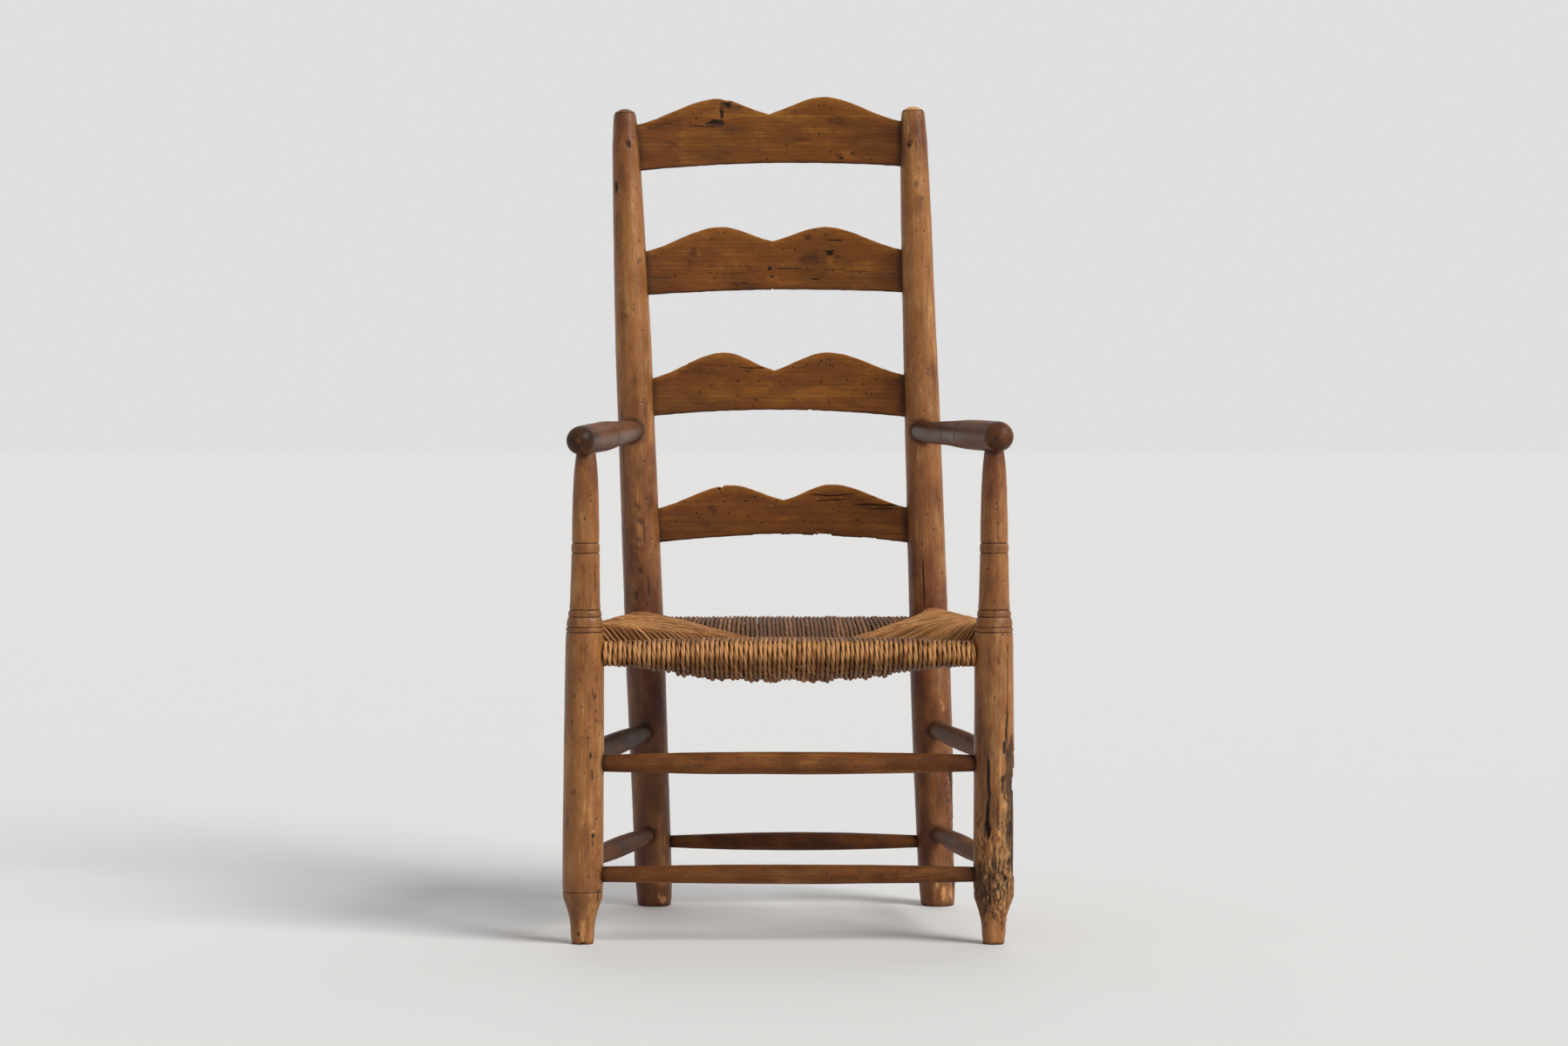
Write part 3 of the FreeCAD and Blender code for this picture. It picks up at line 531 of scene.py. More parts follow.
# Marks on the slats: kind, tone, mm above the slat's lowest corner and half the width, then mm
# from the middle of the chair, and the depth
SLAT_MARKS = {
    "top_slat": [
        (pit, BLACK, 70.2, 4, -121, -93.2, 1.8), (crack, DARK, 65.8, 0.88, -147.2, -91.6, 1.6, 1.2),
        (pit, BLACK, 83.8, 8.8, -99.6, -94, 1.2), (pit, DARK, 97.4, 5.7, -97.9, -80.3, 1),
        (pit, BURNT, 92.8, 2.8, -81.1, -63.5, 0.6), (rub, SMOKY, 91.5, 12.6, -109.7, -60.7),
        (rub, SMOKY, 60.7, 10.1, -99.4, -76.2), (rub, FADED, 90.2, 6.3, -105.8, -98.1),
        (pit, BURNT, 20.9, 5.1, 66, 81.2, 0.7), (pit, DARK, 18.8, 2, 75.2, 80.8, 0.9),
        (pit, DARK, 25.5, 2.3, 91.4, 96, 0.9), (rub, FADED, 23, 8.8, 76.2, 102),
        (rub, FADED, 40.9, 1.8, -1.3, 71), (rub, SMOKY, 37.6, 7.6, -176.8, -156.2),
        (rub, SMOKY, 17.1, 8.8, -169.1, -156.2), (rub, SMOKY, 73.5, 7.6, 58.1, 83.9),
    ],
    "second_slat": [
        (pit, BURNT, 60.8, 7.6, -143.6, -132.2, 0.6), (rub, FADED, 61.3, 6.3, -133.6, -127),
        (rub, SMOKY, 48.2, 20.2, -149.3, -129), (pit, DARK, 38.6, 3, -30.9, -24.3, 0.8),
        (pit, DARK, 27.5, 1.8, -26.4, -19.8, 0.8), (rub, FADED, 24.2, 7.6, -32.7, -11.1),
        (crack, DARK, 39, 0.77, -18.7, 21.8, 1.2, 0.75), (crack, DARK, 23.7, 0.88, 33.2, 45.9, 1.6, 0.3),
        (crack, DARK, 37.6, 0.48, 51, 86.4, 0.8, 0.6), (crack, DARK, 34, 0.42, 81.4, 121.9, 0.7, 0.6),
        (crack, DARK, 24.1, 0.52, -202.5, -164.5, 0.8, 1.5),
        (crack, DARK, 40.6, 0.31, -129, -32.7, 0.4, 2.25),
        (crack, DARK, 32.5, 0.28, -129, -40.3, 0.3, 1.8), (pit, DARK, 61.3, 3.8, 54.9, 66.3, 1),
        (crack, DARK, 64.6, 0.55, 48.4, 71.2, 0.8, 0.6), (crack, DARK, 80.2, 1.04, 56, 81.4, 1.2, 0.9),
        (pit, BURNT, 84, 5.1, 23.1, 35.7, 0.5), (rub, SMOKY, 55.8, 22.7, 15.5, 48.4),
        (rub, FADED, 49.4, 6.3, 53.5, 66.2), (rub, FADED, 19.1, 3.8, -25.1, 35.8),
    ],
    "third_slat": [
        (crack, DARK, 74.1, 0.31, -133.5, -69.9, 0.5, 1.2),
        (crack, DARK, 72.1, 0.83, -74.7, -28.3, 1.4, 1.2),
        (crack, DARK, 67, 0.42, -69.9, -47.8, 0.6, 0.75),
        (crack, DARK, 55, 0.35, -182.4, -149.4, 0.5, 0.6),
        (crack, DARK, 18.8, 0.35, -140.8, -102.9, 0.5, 0.75), (rub, FADED, 37.2, 11.4, -67.4, -20.9),
        (rub, FADED, 34.7, 10.1, -1.3, 91.6), (rub, FADED, 67.7, 7.6, 108.8, 133.2),
    ],
    "fourth_slat": [
        (crack, DARK, 68.8, 0.83, 29.3, 98.9, 1.4, 1.8), (crack, DARK, 60.9, 0.77, 37.9, 86.7, 1.2, 1.2),
        (crack, DARK, 54.8, 1.04, 91.6, 167.3, 1.8, 1.8), (crack, DARK, 48.7, 0.55, 111.2, 162.4, 1, 1.2),
        (pit, PALE, 63.6, 1.3, 39.8, 45.8, 0.3), (pit, PALE, 59.7, 1.3, 58.1, 64.1, 0.3),
        (pit, PALE, 66, 1.3, 74, 80, 0.3), (pit, PALE, 59.9, 1.3, 78.8, 84.8, 0.3),
        (pit, PALE, 58.7, 1.3, 63, 69, 0.3), (pit, PALE, 59.9, 1.3, 115.5, 121.5, 0.3),
        (pit, PALE, 51.8, 1.3, 122.8, 128.8, 0.3), (pit, PALE, 53.3, 1.3, -26.2, -20.2, 0.3),
        (pit, PALE, 26.2, 1.3, -77, -71, 0.3), (pit, PALE, 27.7, 1.3, -41.3, -35.3, 0.3),
        (pit, DARK, 77.7, 2.3, -103.1, -97.1, 1.6), (pit, BURNT, 46.5, 7.6, -116.2, -101, 0.3),
        (rub, SMOKY, 15.2, 4.4, 35.4, 67.2), (pit, TORN, 14.7, 3.8, 38.8, 59, 1.8),
        (rub, SMOKY, 50.1, 11.4, 89.2, 169.8),
    ],
}

# Worm holes: angle in degrees and mm up a post, or mm up a slat and mm across
WORM_HOLES = {
    "top_slat": [
        (83.3, -138.1), (76.1, -133.7), (70.2, -142.5), (79.2, -185.9), (61.2, -201.4),
        (31.7, -43.4), (18.3, -31), (37.1, -2.1), (78.2, 72.3), (91, 63.2), (95.3, 45.2),
        (54.3, 45.2), (23.5, 117.5), (87.6, 10.3), (28.1, 62), (17.1, 120),
    ],
    "second_slat": [
        (86.8, -143), (90.6, -61.8), (87.8, 54.3), (96.2, 37.5), (66.4, -7.3), (65.9, 9.9),
        (39.8, 27.6), (36.3, 64.9), (32.5, 105.5), (31.2, 153.6), (55.8, 71.2), (17.9, -87.2),
        (17.9, -63.1), (38.1, -55.5), (24.9, -107.5), (28, -164.5), (81.5, -111.8), (91.1, -102.4),
        (90.6, -93.5),
    ],
    "third_slat": [
        (89, 32.2), (90.4, 39.5), (76.7, 45.1), (82.8, 60.6), (75, 28.5), (72.6, 6.7), (81.1, 48.8),
        (75, 56.2), (74.5, 61.1), (74.1, 64.7), (73.8, 85.5), (51.1, -42.4), (48.4, -21.4),
        (51.8, -73), (44.5, -111.9), (68.9, -111), (24.5, -47.3), (29.8, -73.5), (15.7, -51.5),
        (47.7, 108.8), (54.8, 127.1), (34.7, 113.7), (33.5, 121), (22.3, 59.3), (54.3, 85.5),
        (24.9, 8.4), (16.9, -86.5), (64.8, -58.8), (67, 141.8), (35.9, -128.6), (50.6, 47.6),
        (24.9, 94.1),
    ],
    "fourth_slat": [
        (64.3, -34.2), (59.4, -61.5), (58.7, -92.8), (72.1, -97.6), (66, -48.1), (59.9, -17.1),
        (44.5, 75.3), (42.8, -133.5), (36.7, -57.4), (35.5, -129.4), (30.6, 24), (25.7, -74.4),
        (27.7, -38.3), (30.6, -162.4), (31.8, 100.2), (58.7, -150.6), (47.7, 66), (42.8, -86.7),
    ],
    "back_left_post": [
        (20.1, 1016.4), (43.1, 958.8), (6.6, 866.3), (6, 859.3), (34.2, 829.2), (33, 739.8),
        (62.6, 743.7), (27.1, 729.8), (42.6, 723.5), (62.9, 714.7), (35.2, 748.6), (23.7, 724.7),
        (23.8, 639.8), (58.6, 636.7), (-43.5, 542.5), (-19, 604.2), (28.8, 585.3), (38.6, 527.5),
        (38.7, 497.4), (37.1, 575.2), (51.8, 517.3), (32.9, 502.5), (12.8, 432.5), (56.8, 612.8),
    ],
    "back_right_post": [
        (31, 1139.2), (17, 1064.4), (26.5, 1019.5), (-4, 974.7), (26.2, 972.8), (31.4, 920.4),
        (17.9, 1102.8), (22.2, 772.5), (17.9, 767), (35.7, 723), (4, 712.2), (-9.7, 757.4),
        (48.6, 584.4), (0.8, 562.8), (21.4, 551.7), (24.7, 460.4), (29.8, 449.9), (43.6, 437.1),
        (49.1, 479.7), (-16.5, 520.9), (21.6, 541.4),
    ],
    "front_left_post": [
        (26.6, 599.4), (26.6, 594.7), (25, 592.4), (47.9, 504.2), (43.1, 494.9), (64.2, 481.9),
        (36.3, 251.5), (46.1, 225.7), (33.5, 244.6), (14.5, 277.5), (19.3, 291.4), (48.5, 300),
        (38.7, 300.3), (65.6, 299.4), (15.2, 388.8), (6.8, 286.8), (52.3, 281.3), (41.7, 314.1),
        (44.1, 169.9), (6.8, 161.4), (52.7, 99.6), (18, 91.5), (-33.1, 300.4), (-6.3, 319.3),
    ],
    "front_right_post": [
        (24.9, 414.9), (41.3, 415.1), (15.7, 393.4), (9.6, 582), (10.7, 563.5), (7.4, 590.1),
        (12.8, 543.8), (-20.2, 550.7), (34.2, 485.8), (-2.3, 458.1), (-30.5, 502), (-72.3, 119.6),
        (-36.7, 128.3), (-0.9, 128.9), (-42.8, 95.4), (-11.4, 58.8), (-35.7, 48.5), (44.6, 48.2),
        (13.8, 82.3), (-0.1, 77.7), (48.8, 66), (-49.4, 104.4), (18.7, 56.2), (-6.9, 44.2),
    ],
}

# How the old finish changes up a post: mm up, share of red stain, share of dark stain
STAINS = {
    "front_left_post": [(0, 0.15, 0.2), (60, 0.1, 0.35), (110, 0.1, 0.1), (400, 0.15, 0.05),
                        (540, 0.15, 0.0), (620, 0.5, 0.1), (661, 0.7, 0.3)],
    "front_right_post": [(0, 0.3, 0.0), (40, 0.25, 0.1), (70, 0.2, 0.3), (180, 0.2, 0.15),
                         (400, 0.25, 0.0), (560, 0.15, 0.0), (625, 0.55, 0.1), (661, 0.7, 0.3)],
    # On both back posts the dark share low down is partly a dark stain and partly painted shade under the
    # seat
    "back_left_post": [(0, 0.8, 0.45), (370, 0.85, 0.5), (420, 0.75, 0.35), (560, 0.55, 0.15),
                       (680, 0.4, 0.1), (760, 0.1, 0.0), (1020, 0.05, 0.0), (1070, 0.35, 0.1),
                       (1148, 0.6, 0.2)],
    "back_right_post": [(0, 0.75, 0.3), (370, 0.8, 0.3), (430, 0.7, 0.2), (520, 0.55, 0.1),
                        (660, 0.3, 0.05), (860, 0.1, 0.0), (1020, 0.05, 0.0), (1060, 0.1, 0.0),
                        (1125, 0.35, 0.1), (1148, 0.0, 0.0)],
    "front_upper_stretcher": [(0, 0.6, 0.6), (40, 0.4, 0.35), (150, 0.15, 0.1), (330, 0.1, 0.05),
                              (430, 0.3, 0.2), (526, 0.6, 0.6)],
    "front_lower_stretcher": [(0, 0.6, 0.6), (50, 0.4, 0.3), (150, 0.2, 0.1), (330, 0.15, 0.1),
                              (430, 0.35, 0.25), (526, 0.6, 0.6)],
    "back_stretcher": [(0, 0.9, 0.6), (390, 0.9, 0.6)],
    "left_upper_stretcher": [(0, 0.4, 0.7), (390, 0.5, 0.9)],
    "left_lower_stretcher": [(0, 0.5, 0.3), (390, 0.6, 0.6)],
    "right_upper_stretcher": [(0, 0.4, 0.3), (200, 0.4, 0.3), (390, 0.6, 0.5)],
    "right_lower_stretcher": [(0, 0.4, 0.3), (200, 0.4, 0.3), (390, 0.6, 0.5)],
    "left_arm": [(0, 0.5, 1.0), (28, 0.4, 0.7), (80, 0.2, 0.1), (300, 0.2, 0.1), (470, 0.6, 0.5)],
    "right_arm": [(0, 0.5, 0.4), (60, 0.4, 0.2), (200, 0.4, 0.3), (470, 0.7, 0.6)],
}
DIRT_HALF = 0.95 * MM           # of the dirt in a scribed line
RIM = {"back_right_post": 8.0}  # mm of the top rim that hands have worn pale
RIM_EDGE = 3.0                  # mm over which it runs out
TURNED_SWELL = (0.35, 0.05)     # mm of slow swell and of raised fibres on a turned skin
FRAY_HEIGHT = 12.0              # mm up which the foot of a post is frayed
FLOOR_DIRT = 5.0                # mm up which it is soiled
JOINT_DIRT = 7 * MM             # how far dirt reaches from a joint


def worn_piece(name, skin, ends, slot, material, shades, zones, grain, others, reach, dirt):
    """A skin closed at both ends, in place of its node, cut level at the floor and with dirt as
    far as reach from where the others meet it."""
    points = np.concatenate([skin.reshape(-1, 3), ends])
    points[:, 2] = np.maximum(points[:, 2], 0)
    shades, zones = (np.concatenate([rows.reshape(-1, 3), np.zeros((2, 3))])
                     for rows in (shades, zones))
    shades[:, 2] = np.maximum(shades[:, 2], dirt * near_others(points, others, reach))
    return mesh_piece(name + "_worn", points, tube_faces(*skin.shape[:2]), [name], slot, material,
                      grain_place=grain, marks=shades, zones=zones)


def make_turned(name, forward, face, material, slot, cell, segments, seed, others, foot=None):
    """A turned piece with its wear, in place of its node."""
    turned = Turned(name, forward, face, foot)
    places, radii, angles = skin_grid(turned, cell, segments, FOOT_SPARE if foot is not None else 0)
    lateral = radii[:, None] * angles[None, :] / MM
    along = np.repeat(places[:, None], len(angles), axis=1) / MM
    around = np.stack([radii[:, None] * np.cos(angles) / MM, radii[:, None] * np.sin(angles) / MM,
                       along], axis=-1)
    marks = [(kind, tone, turned.lateral(at, (start + end) / 2), half, start, end, *rest)
             for kind, tone, at, half, start, end, *rest in TURNED_MARKS.get(name, ())]
    holes = [(turned.lateral(at, place), place) for at, place in WORM_HOLES.get(name, ())]
    depth, shades = weather(lateral, along, around, marks, holes, seed, *TURNED_SWELL)
    # Dirt sits in the scribed lines
    sunken = np.zeros((len(places), 1))
    for line in turned.lines:
        sunken = np.maximum(sunken, np.exp(-((places[:, None] - line) / DIRT_HALF) ** 4))
    uneven = 0.85 + 0.3 * lattice_noise(around, (9.0, 9.0, 5.0), seed + 4)
    grime = np.clip(0.8 * sunken * uneven, 0, 1)
    if foot is not None:
        fray = np.clip(1 - along / FRAY_HEIGHT, 0, 1)
        depth = depth + fray * (0.8 + 1.2 * lattice_noise(around, (3.0, 3.0, 14.0), seed + 5))
        grime = np.maximum(grime, 0.7 * np.clip(1 - along / FLOOR_DIRT, 0, 1))
    shades[..., 2] = np.maximum(shades[..., 2], grime)
    if name in RIM:
        top = turned.length / MM
        rim = soft_step(along, top - RIM[name], top - RIM_EDGE)
        shades[..., 1] = np.maximum(shades[..., 1], rim * (1 - sunken))
    heights, *stains = np.array(STAINS[name], float).T
    red, dark = (np.interp(along, heights, stain) for stain in stains)
    mottle = layered_noise(around, seed, (0.35, (16.0, 16.0, 45.0), 6), (0.15, (5.0, 5.0, 12.0), 9))
    beads = np.interp(places, turned.places, turned.beads)[:, None]
    zones = np.stack([np.clip(red + mottle, 0, 1), np.clip(dark + 0.5 * mottle + 0.35 * beads, 0, 1),
                      np.zeros_like(along)], axis=-1)
    outward = np.cos(angles)[:, None] * turned.face + np.sin(angles)[:, None] * turned.side
    reach = np.maximum(radii[:, None] - depth * MM, 0.2 * radii[:, None])
    skin = turned.start + turned.along * places[:, None, None] + reach[..., None] * outward
    tips = np.array([[0, 0, places[0]], [0, 0, places[-1]]])
    # Each piece has a place of its own in the grain
    own = np.array([seed * 0.137 % 0.5, seed * 0.071 % 0.3, seed * 0.31 % 0.7])
    grain = np.concatenate([around.reshape(-1, 3) * MM, tips]) + own
    return worn_piece(name, skin, turned.start + turned.along * tips[:, 2:], slot, material, shades,
                      zones, grain, others, JOINT_DIRT, 0.85)


# Slats: bent boards, read off their nodes column by column

BOARD_STEP = 1.05 * MM
BOARD_REACH = 0.15
BOARD_END = 2.0 * MM            # the ends lie askew inside the mortises and aren't read
BOARD_TILT_SPAN = 12 * MM       # the tilt is read this far above and below the waist
ARRIS = 2.4 * MM                # how far in from the edge a face starts to round over
ARRIS_POINTS = 7
ARRIS_SQUARE = 0.6              # 1 is a round arris, and less is squarer
FACE_POINTS = 84
BACK_APART = 30                 # keeps the noise of the back apart from that of the front
SLAT_SWELL = (0.4, 0.09)        # mm of slow swell and of raised fibres
SLAT_DIRT = 9 * MM              # how far dirt reaches from a post
BACK_POSTS = ("back_left_post", "back_right_post")
KNOT_STRETCH = 2.4              # how much longer than high a knot is

# Knots that the grain flows round: height, place across and size in mm
SLAT_KNOTS = {
    "top_slat": [(80.0, -92.0, 9.0), (26.0, 84.0, 6.0)],
    "second_slat": [(50.0, -118.0, 5.0), (32.0, -8.0, 6.0), (52.0, 62.0, 7.0)],
    "third_slat": [(52.0, -40.0, 4.0)],
    "fourth_slat": [(45.0, -100.0, 6.0), (36.0, 82.0, 5.0)],
}
# Chips out of an edge: place across, half width, depth, and 1 for the upper edge or -1
SLAT_CHIPS = {
    "top_slat": [(-90.0, 5.0, 0.9, 1)],
    "second_slat": [(-22.0, 1.6, 1.2, -1), (-131.0, 2.0, 0.9, 1)],
    "third_slat": [(33.0, 3.0, 1.1, -1), (-148.0, 3.0, 0.6, 1)],
    "fourth_slat": [(50.0, 13.0, 2.6, -1), (12.0, 18.0, 1.2, -1), (-30.0, 26.0, 1.5, -1),
                    (-96.0, 2.6, 1.6, 1), (118.0, 10.0, 1.0, -1)],
}


def read_board(name):
    """A slat's columns: their middles, half thickness, lower and upper edges, and up."""
    corners, tree = node_surface(name)
    low = corners.min(axis=0)
    high = corners.max(axis=0)
    waist = (low[2] + high[2]) / 2

    def face_y(x, z, side):
        origin = Vector((x, low[1] + side * BOARD_REACH, z))
        return tree.ray_cast(origin, Vector((0, -side, 0)))[0].y

    middle_x = (low[0] + high[0]) / 2
    tilt = face_y(middle_x, waist + BOARD_TILT_SPAN, -1) - face_y(middle_x, waist - BOARD_TILT_SPAN, -1)
    up = unit((0, tilt / (2 * BOARD_TILT_SPAN), 1))
    rows = []
    for x in np.arange(low[0] + BOARD_END, high[0] - BOARD_END, BOARD_STEP):
        front = face_y(x, waist, -1)
        back = face_y(x, waist, 1)
        middle = np.array([x, (front + back) / 2, waist])
        top = tree.ray_cast(Vector(middle + up * BOARD_REACH), Vector(-up))[3]
        bottom = tree.ray_cast(Vector(middle - up * BOARD_REACH), Vector(up))[3]
        rows.append((*middle, (back - front) / 2 * up[2], bottom - BOARD_REACH, BOARD_REACH - top))
    rows = np.array(rows)
    return rows[:, :3], rows[:, 3], rows[:, 4], rows[:, 5], up, waist - low[2]


def chipped(edge, across, chips, side, seed):
    """The edge of a slat with small nicks everywhere and the named chips."""
    place = grid_of(across, np.zeros_like(across), 0)
    edge = edge - side * 0.3 * MM * (1 + lattice_noise(place, (9.0, 1.0, 1.0), seed))
    for at, wide, deep, which in chips:
        if which == side:
            ragged = 0.4 * lattice_noise(place, (2.5, 1.0, 1.0), seed + 3)
            cut = soft_step(1.1 - abs(across - at) / wide + ragged, 0.0, 0.5)
            edge = edge - side * deep * MM * cut
    return edge


def board_section():
    """A slat's section, once round from the foot of its front: how far up the flat of a face
    each point lies, how far over an arris and how far out to the back."""
    faces = np.linspace(0, 1, FACE_POINTS)
    turn = np.linspace(0, math.pi, ARRIS_POINTS + 2)[1:-1]
    round_up = np.sin(turn) ** ARRIS_SQUARE
    round_out = np.sign(np.cos(turn)) * abs(np.cos(turn)) ** ARRIS_SQUARE
    flat = np.ones(FACE_POINTS)
    share = np.concatenate([faces, np.ones(ARRIS_POINTS), faces[::-1], np.zeros(ARRIS_POINTS)])
    over = np.concatenate([0 * flat, round_up, 0 * flat, -round_up])
    out = np.concatenate([-flat, -round_out, flat, round_out])
    return share, over, out


def make_slat(name, material, seed):
    """A slat with its wear, in place of its node."""
    middles, halves, lower, upper, up, rise = read_board(name)
    across = middles[:, 0] / MM
    upper = chipped(upper, across, SLAT_CHIPS[name], 1, seed)
    lower = chipped(lower, across, SLAT_CHIPS[name], -1, seed + 1)
    slope = np.gradient(middles[:, 1], middles[:, 0])
    back = unit_rows(np.stack([-slope, np.ones_like(slope), np.full_like(slope, -up[1] / up[2])], axis=-1))
    share, over, out = board_section()
    inner = (upper - lower - 2 * ARRIS)[:, None]
    height = lower[:, None] + ARRIS + inner * share + ARRIS * over
    lateral = (height + rise) / MM
    along = np.repeat(across[:, None], len(share), axis=1)
    facing = np.repeat(out[None, :], len(across), axis=0)
    around = np.stack([lateral, facing * BACK_APART, along], axis=-1)
    # The marks are on the front face, and the back has only the swell and the fibres
    depth, shades = weather(lateral, along, around, SLAT_MARKS[name], WORM_HOLES[name], seed, *SLAT_SWELL)
    plain = weather(lateral, along, around, [], [], seed, *SLAT_SWELL)[0]
    front = soft_step(-facing, -0.5, 0.5)
    depth = plain + (depth - plain) * front
    shades = shades * front[..., None]
    reach = facing * np.maximum(halves[:, None] - abs(facing) * depth * MM, 0.3 * halves[:, None])
    skin = middles[:, None, :] + height[..., None] * up + reach[..., None] * back[:, None, :]
    # Paler upper edges, partly rubbed and partly a painted highlight, painted shade along the
    # lower edge, and redder, darker ends
    edge_wear_and_highlight = np.maximum(0.6 * soft_step(share + 0.04 * over, 0.84, 1.02),
                           1.1 * soft_step(over, 0.1, 0.6))
    uneven = 0.6 + 0.4 * lattice_noise(around, (3.0, 3.0, 11.0), seed + 8)
    # Painted shade along the lower edge
    lower_edge_shade = 0.5 * (1 - soft_step(share + 0.04 * over, -0.03, 0.04))
    shades[..., 1] = np.maximum(shades[..., 1], edge_wear_and_highlight * uneven)
    shades[..., 2] = np.maximum(shades[..., 2], lower_edge_shade)
    mottle = layered_noise(around, seed, (1.0, (30.0, 60.0, 60.0), 6), (0.6, (9.0, 60.0, 26.0), 7))
    middle_away = soft_step(abs(along - across.mean()), 90, 190)
    zones = np.stack([np.clip(0.2 + 0.35 * middle_away + 0.35 * mottle, 0, 1),
                      np.clip(0.1 + 0.2 * middle_away - 0.3 * mottle, 0, 1),
                      np.zeros_like(along)], axis=-1)
    # The grain closes in on a knot, which is drawn out along the board
    grain_up = lateral.copy()
    for knot_height, knot_place, size in SLAT_KNOTS[name]:
        apart = np.hypot((along - knot_place) / KNOT_STRETCH, lateral - knot_height)
        grain_up = knot_height + (grain_up - knot_height) * (1 - 0.85 * np.exp(-(apart / size) ** 2))
    grain = np.stack([reach, grain_up * MM, along * MM], axis=-1).reshape(-1, 3)
    ends = skin[[0, -1]].mean(axis=1)
    own = np.array([0.055 + 0.013 * (seed % 5), 0.02 + 0.031 * (seed % 7), seed * 0.31 % 0.7])
    return worn_piece(name, skin, ends, "slat_wood", material, shades, zones,
                      np.concatenate([grain, ends]) + own, BACK_POSTS, SLAT_DIRT, 0.7)


# Materials

def add_node(tree, kind, settings=None, values=None, out=0):
    """Adds a shader node with its settings and its values, which are numbers or sockets to
    link in, and gives back the socket named or numbered out."""
    node = tree.nodes.new("ShaderNode" + kind)
    for key, value in (settings or {}).items():
        setattr(node, key, value)
    for key, value in (values or {}).items():
        if isinstance(value, bpy.types.NodeSocket):
            tree.links.new(value, node.inputs[key])
        else:
            node.inputs[key].default_value = value
    return node.outputs[out] if len(node.outputs) else node


def empty_nodes(owner):
    """Clears the nodes of a material or a world, and gives back what adds new ones to it."""
    owner.use_nodes = True
    owner.node_tree.nodes.clear()
    return partial(add_node, owner.node_tree)


MULTIPLY = {"operation": "MULTIPLY"}
MULTIPLY_ADD = {"operation": "MULTIPLY_ADD"}
CLAMPED_ADD = {"operation": "MULTIPLY_ADD", "use_clamp": True}
MAXIMUM = {"operation": "MAXIMUM"}
SMOOTH = {"interpolation_type": "SMOOTHSTEP"}
COLOUR = {"data_type": "RGBA"}
RINGS = {"wave_type": "RINGS", "rings_direction": "Z", "wave_profile": "SAW"}
FACTOR, FIRST, SECOND, MIXED = 0, 6, 7, 2       # sockets of a colour mix
WOOD_IOR = 1.5
RUSH_IOR = 1.45
PORE_WIDTH = 0.9 * MM
HOLE_CELL = 7 * MM
MOTTLE_WIDTH = 26 * MM
RING_SCALE = 0.314              # of a wave texture whose rings lie one unit apart
DRAWN_OUT = (0.045, 0.45, 0.12)     # scale along the grain of the fibres, mottle and pores
END_GRAIN = ""                  # a grain that lies along no axis
RUSH_DRAWN_OUT = (0.05, 0.25)   # scale along a strand of its fibres and patches


def opaque(colour, shade=1.0):
    return (*[min(1.0, shade * c) for c in colour], 1.0)


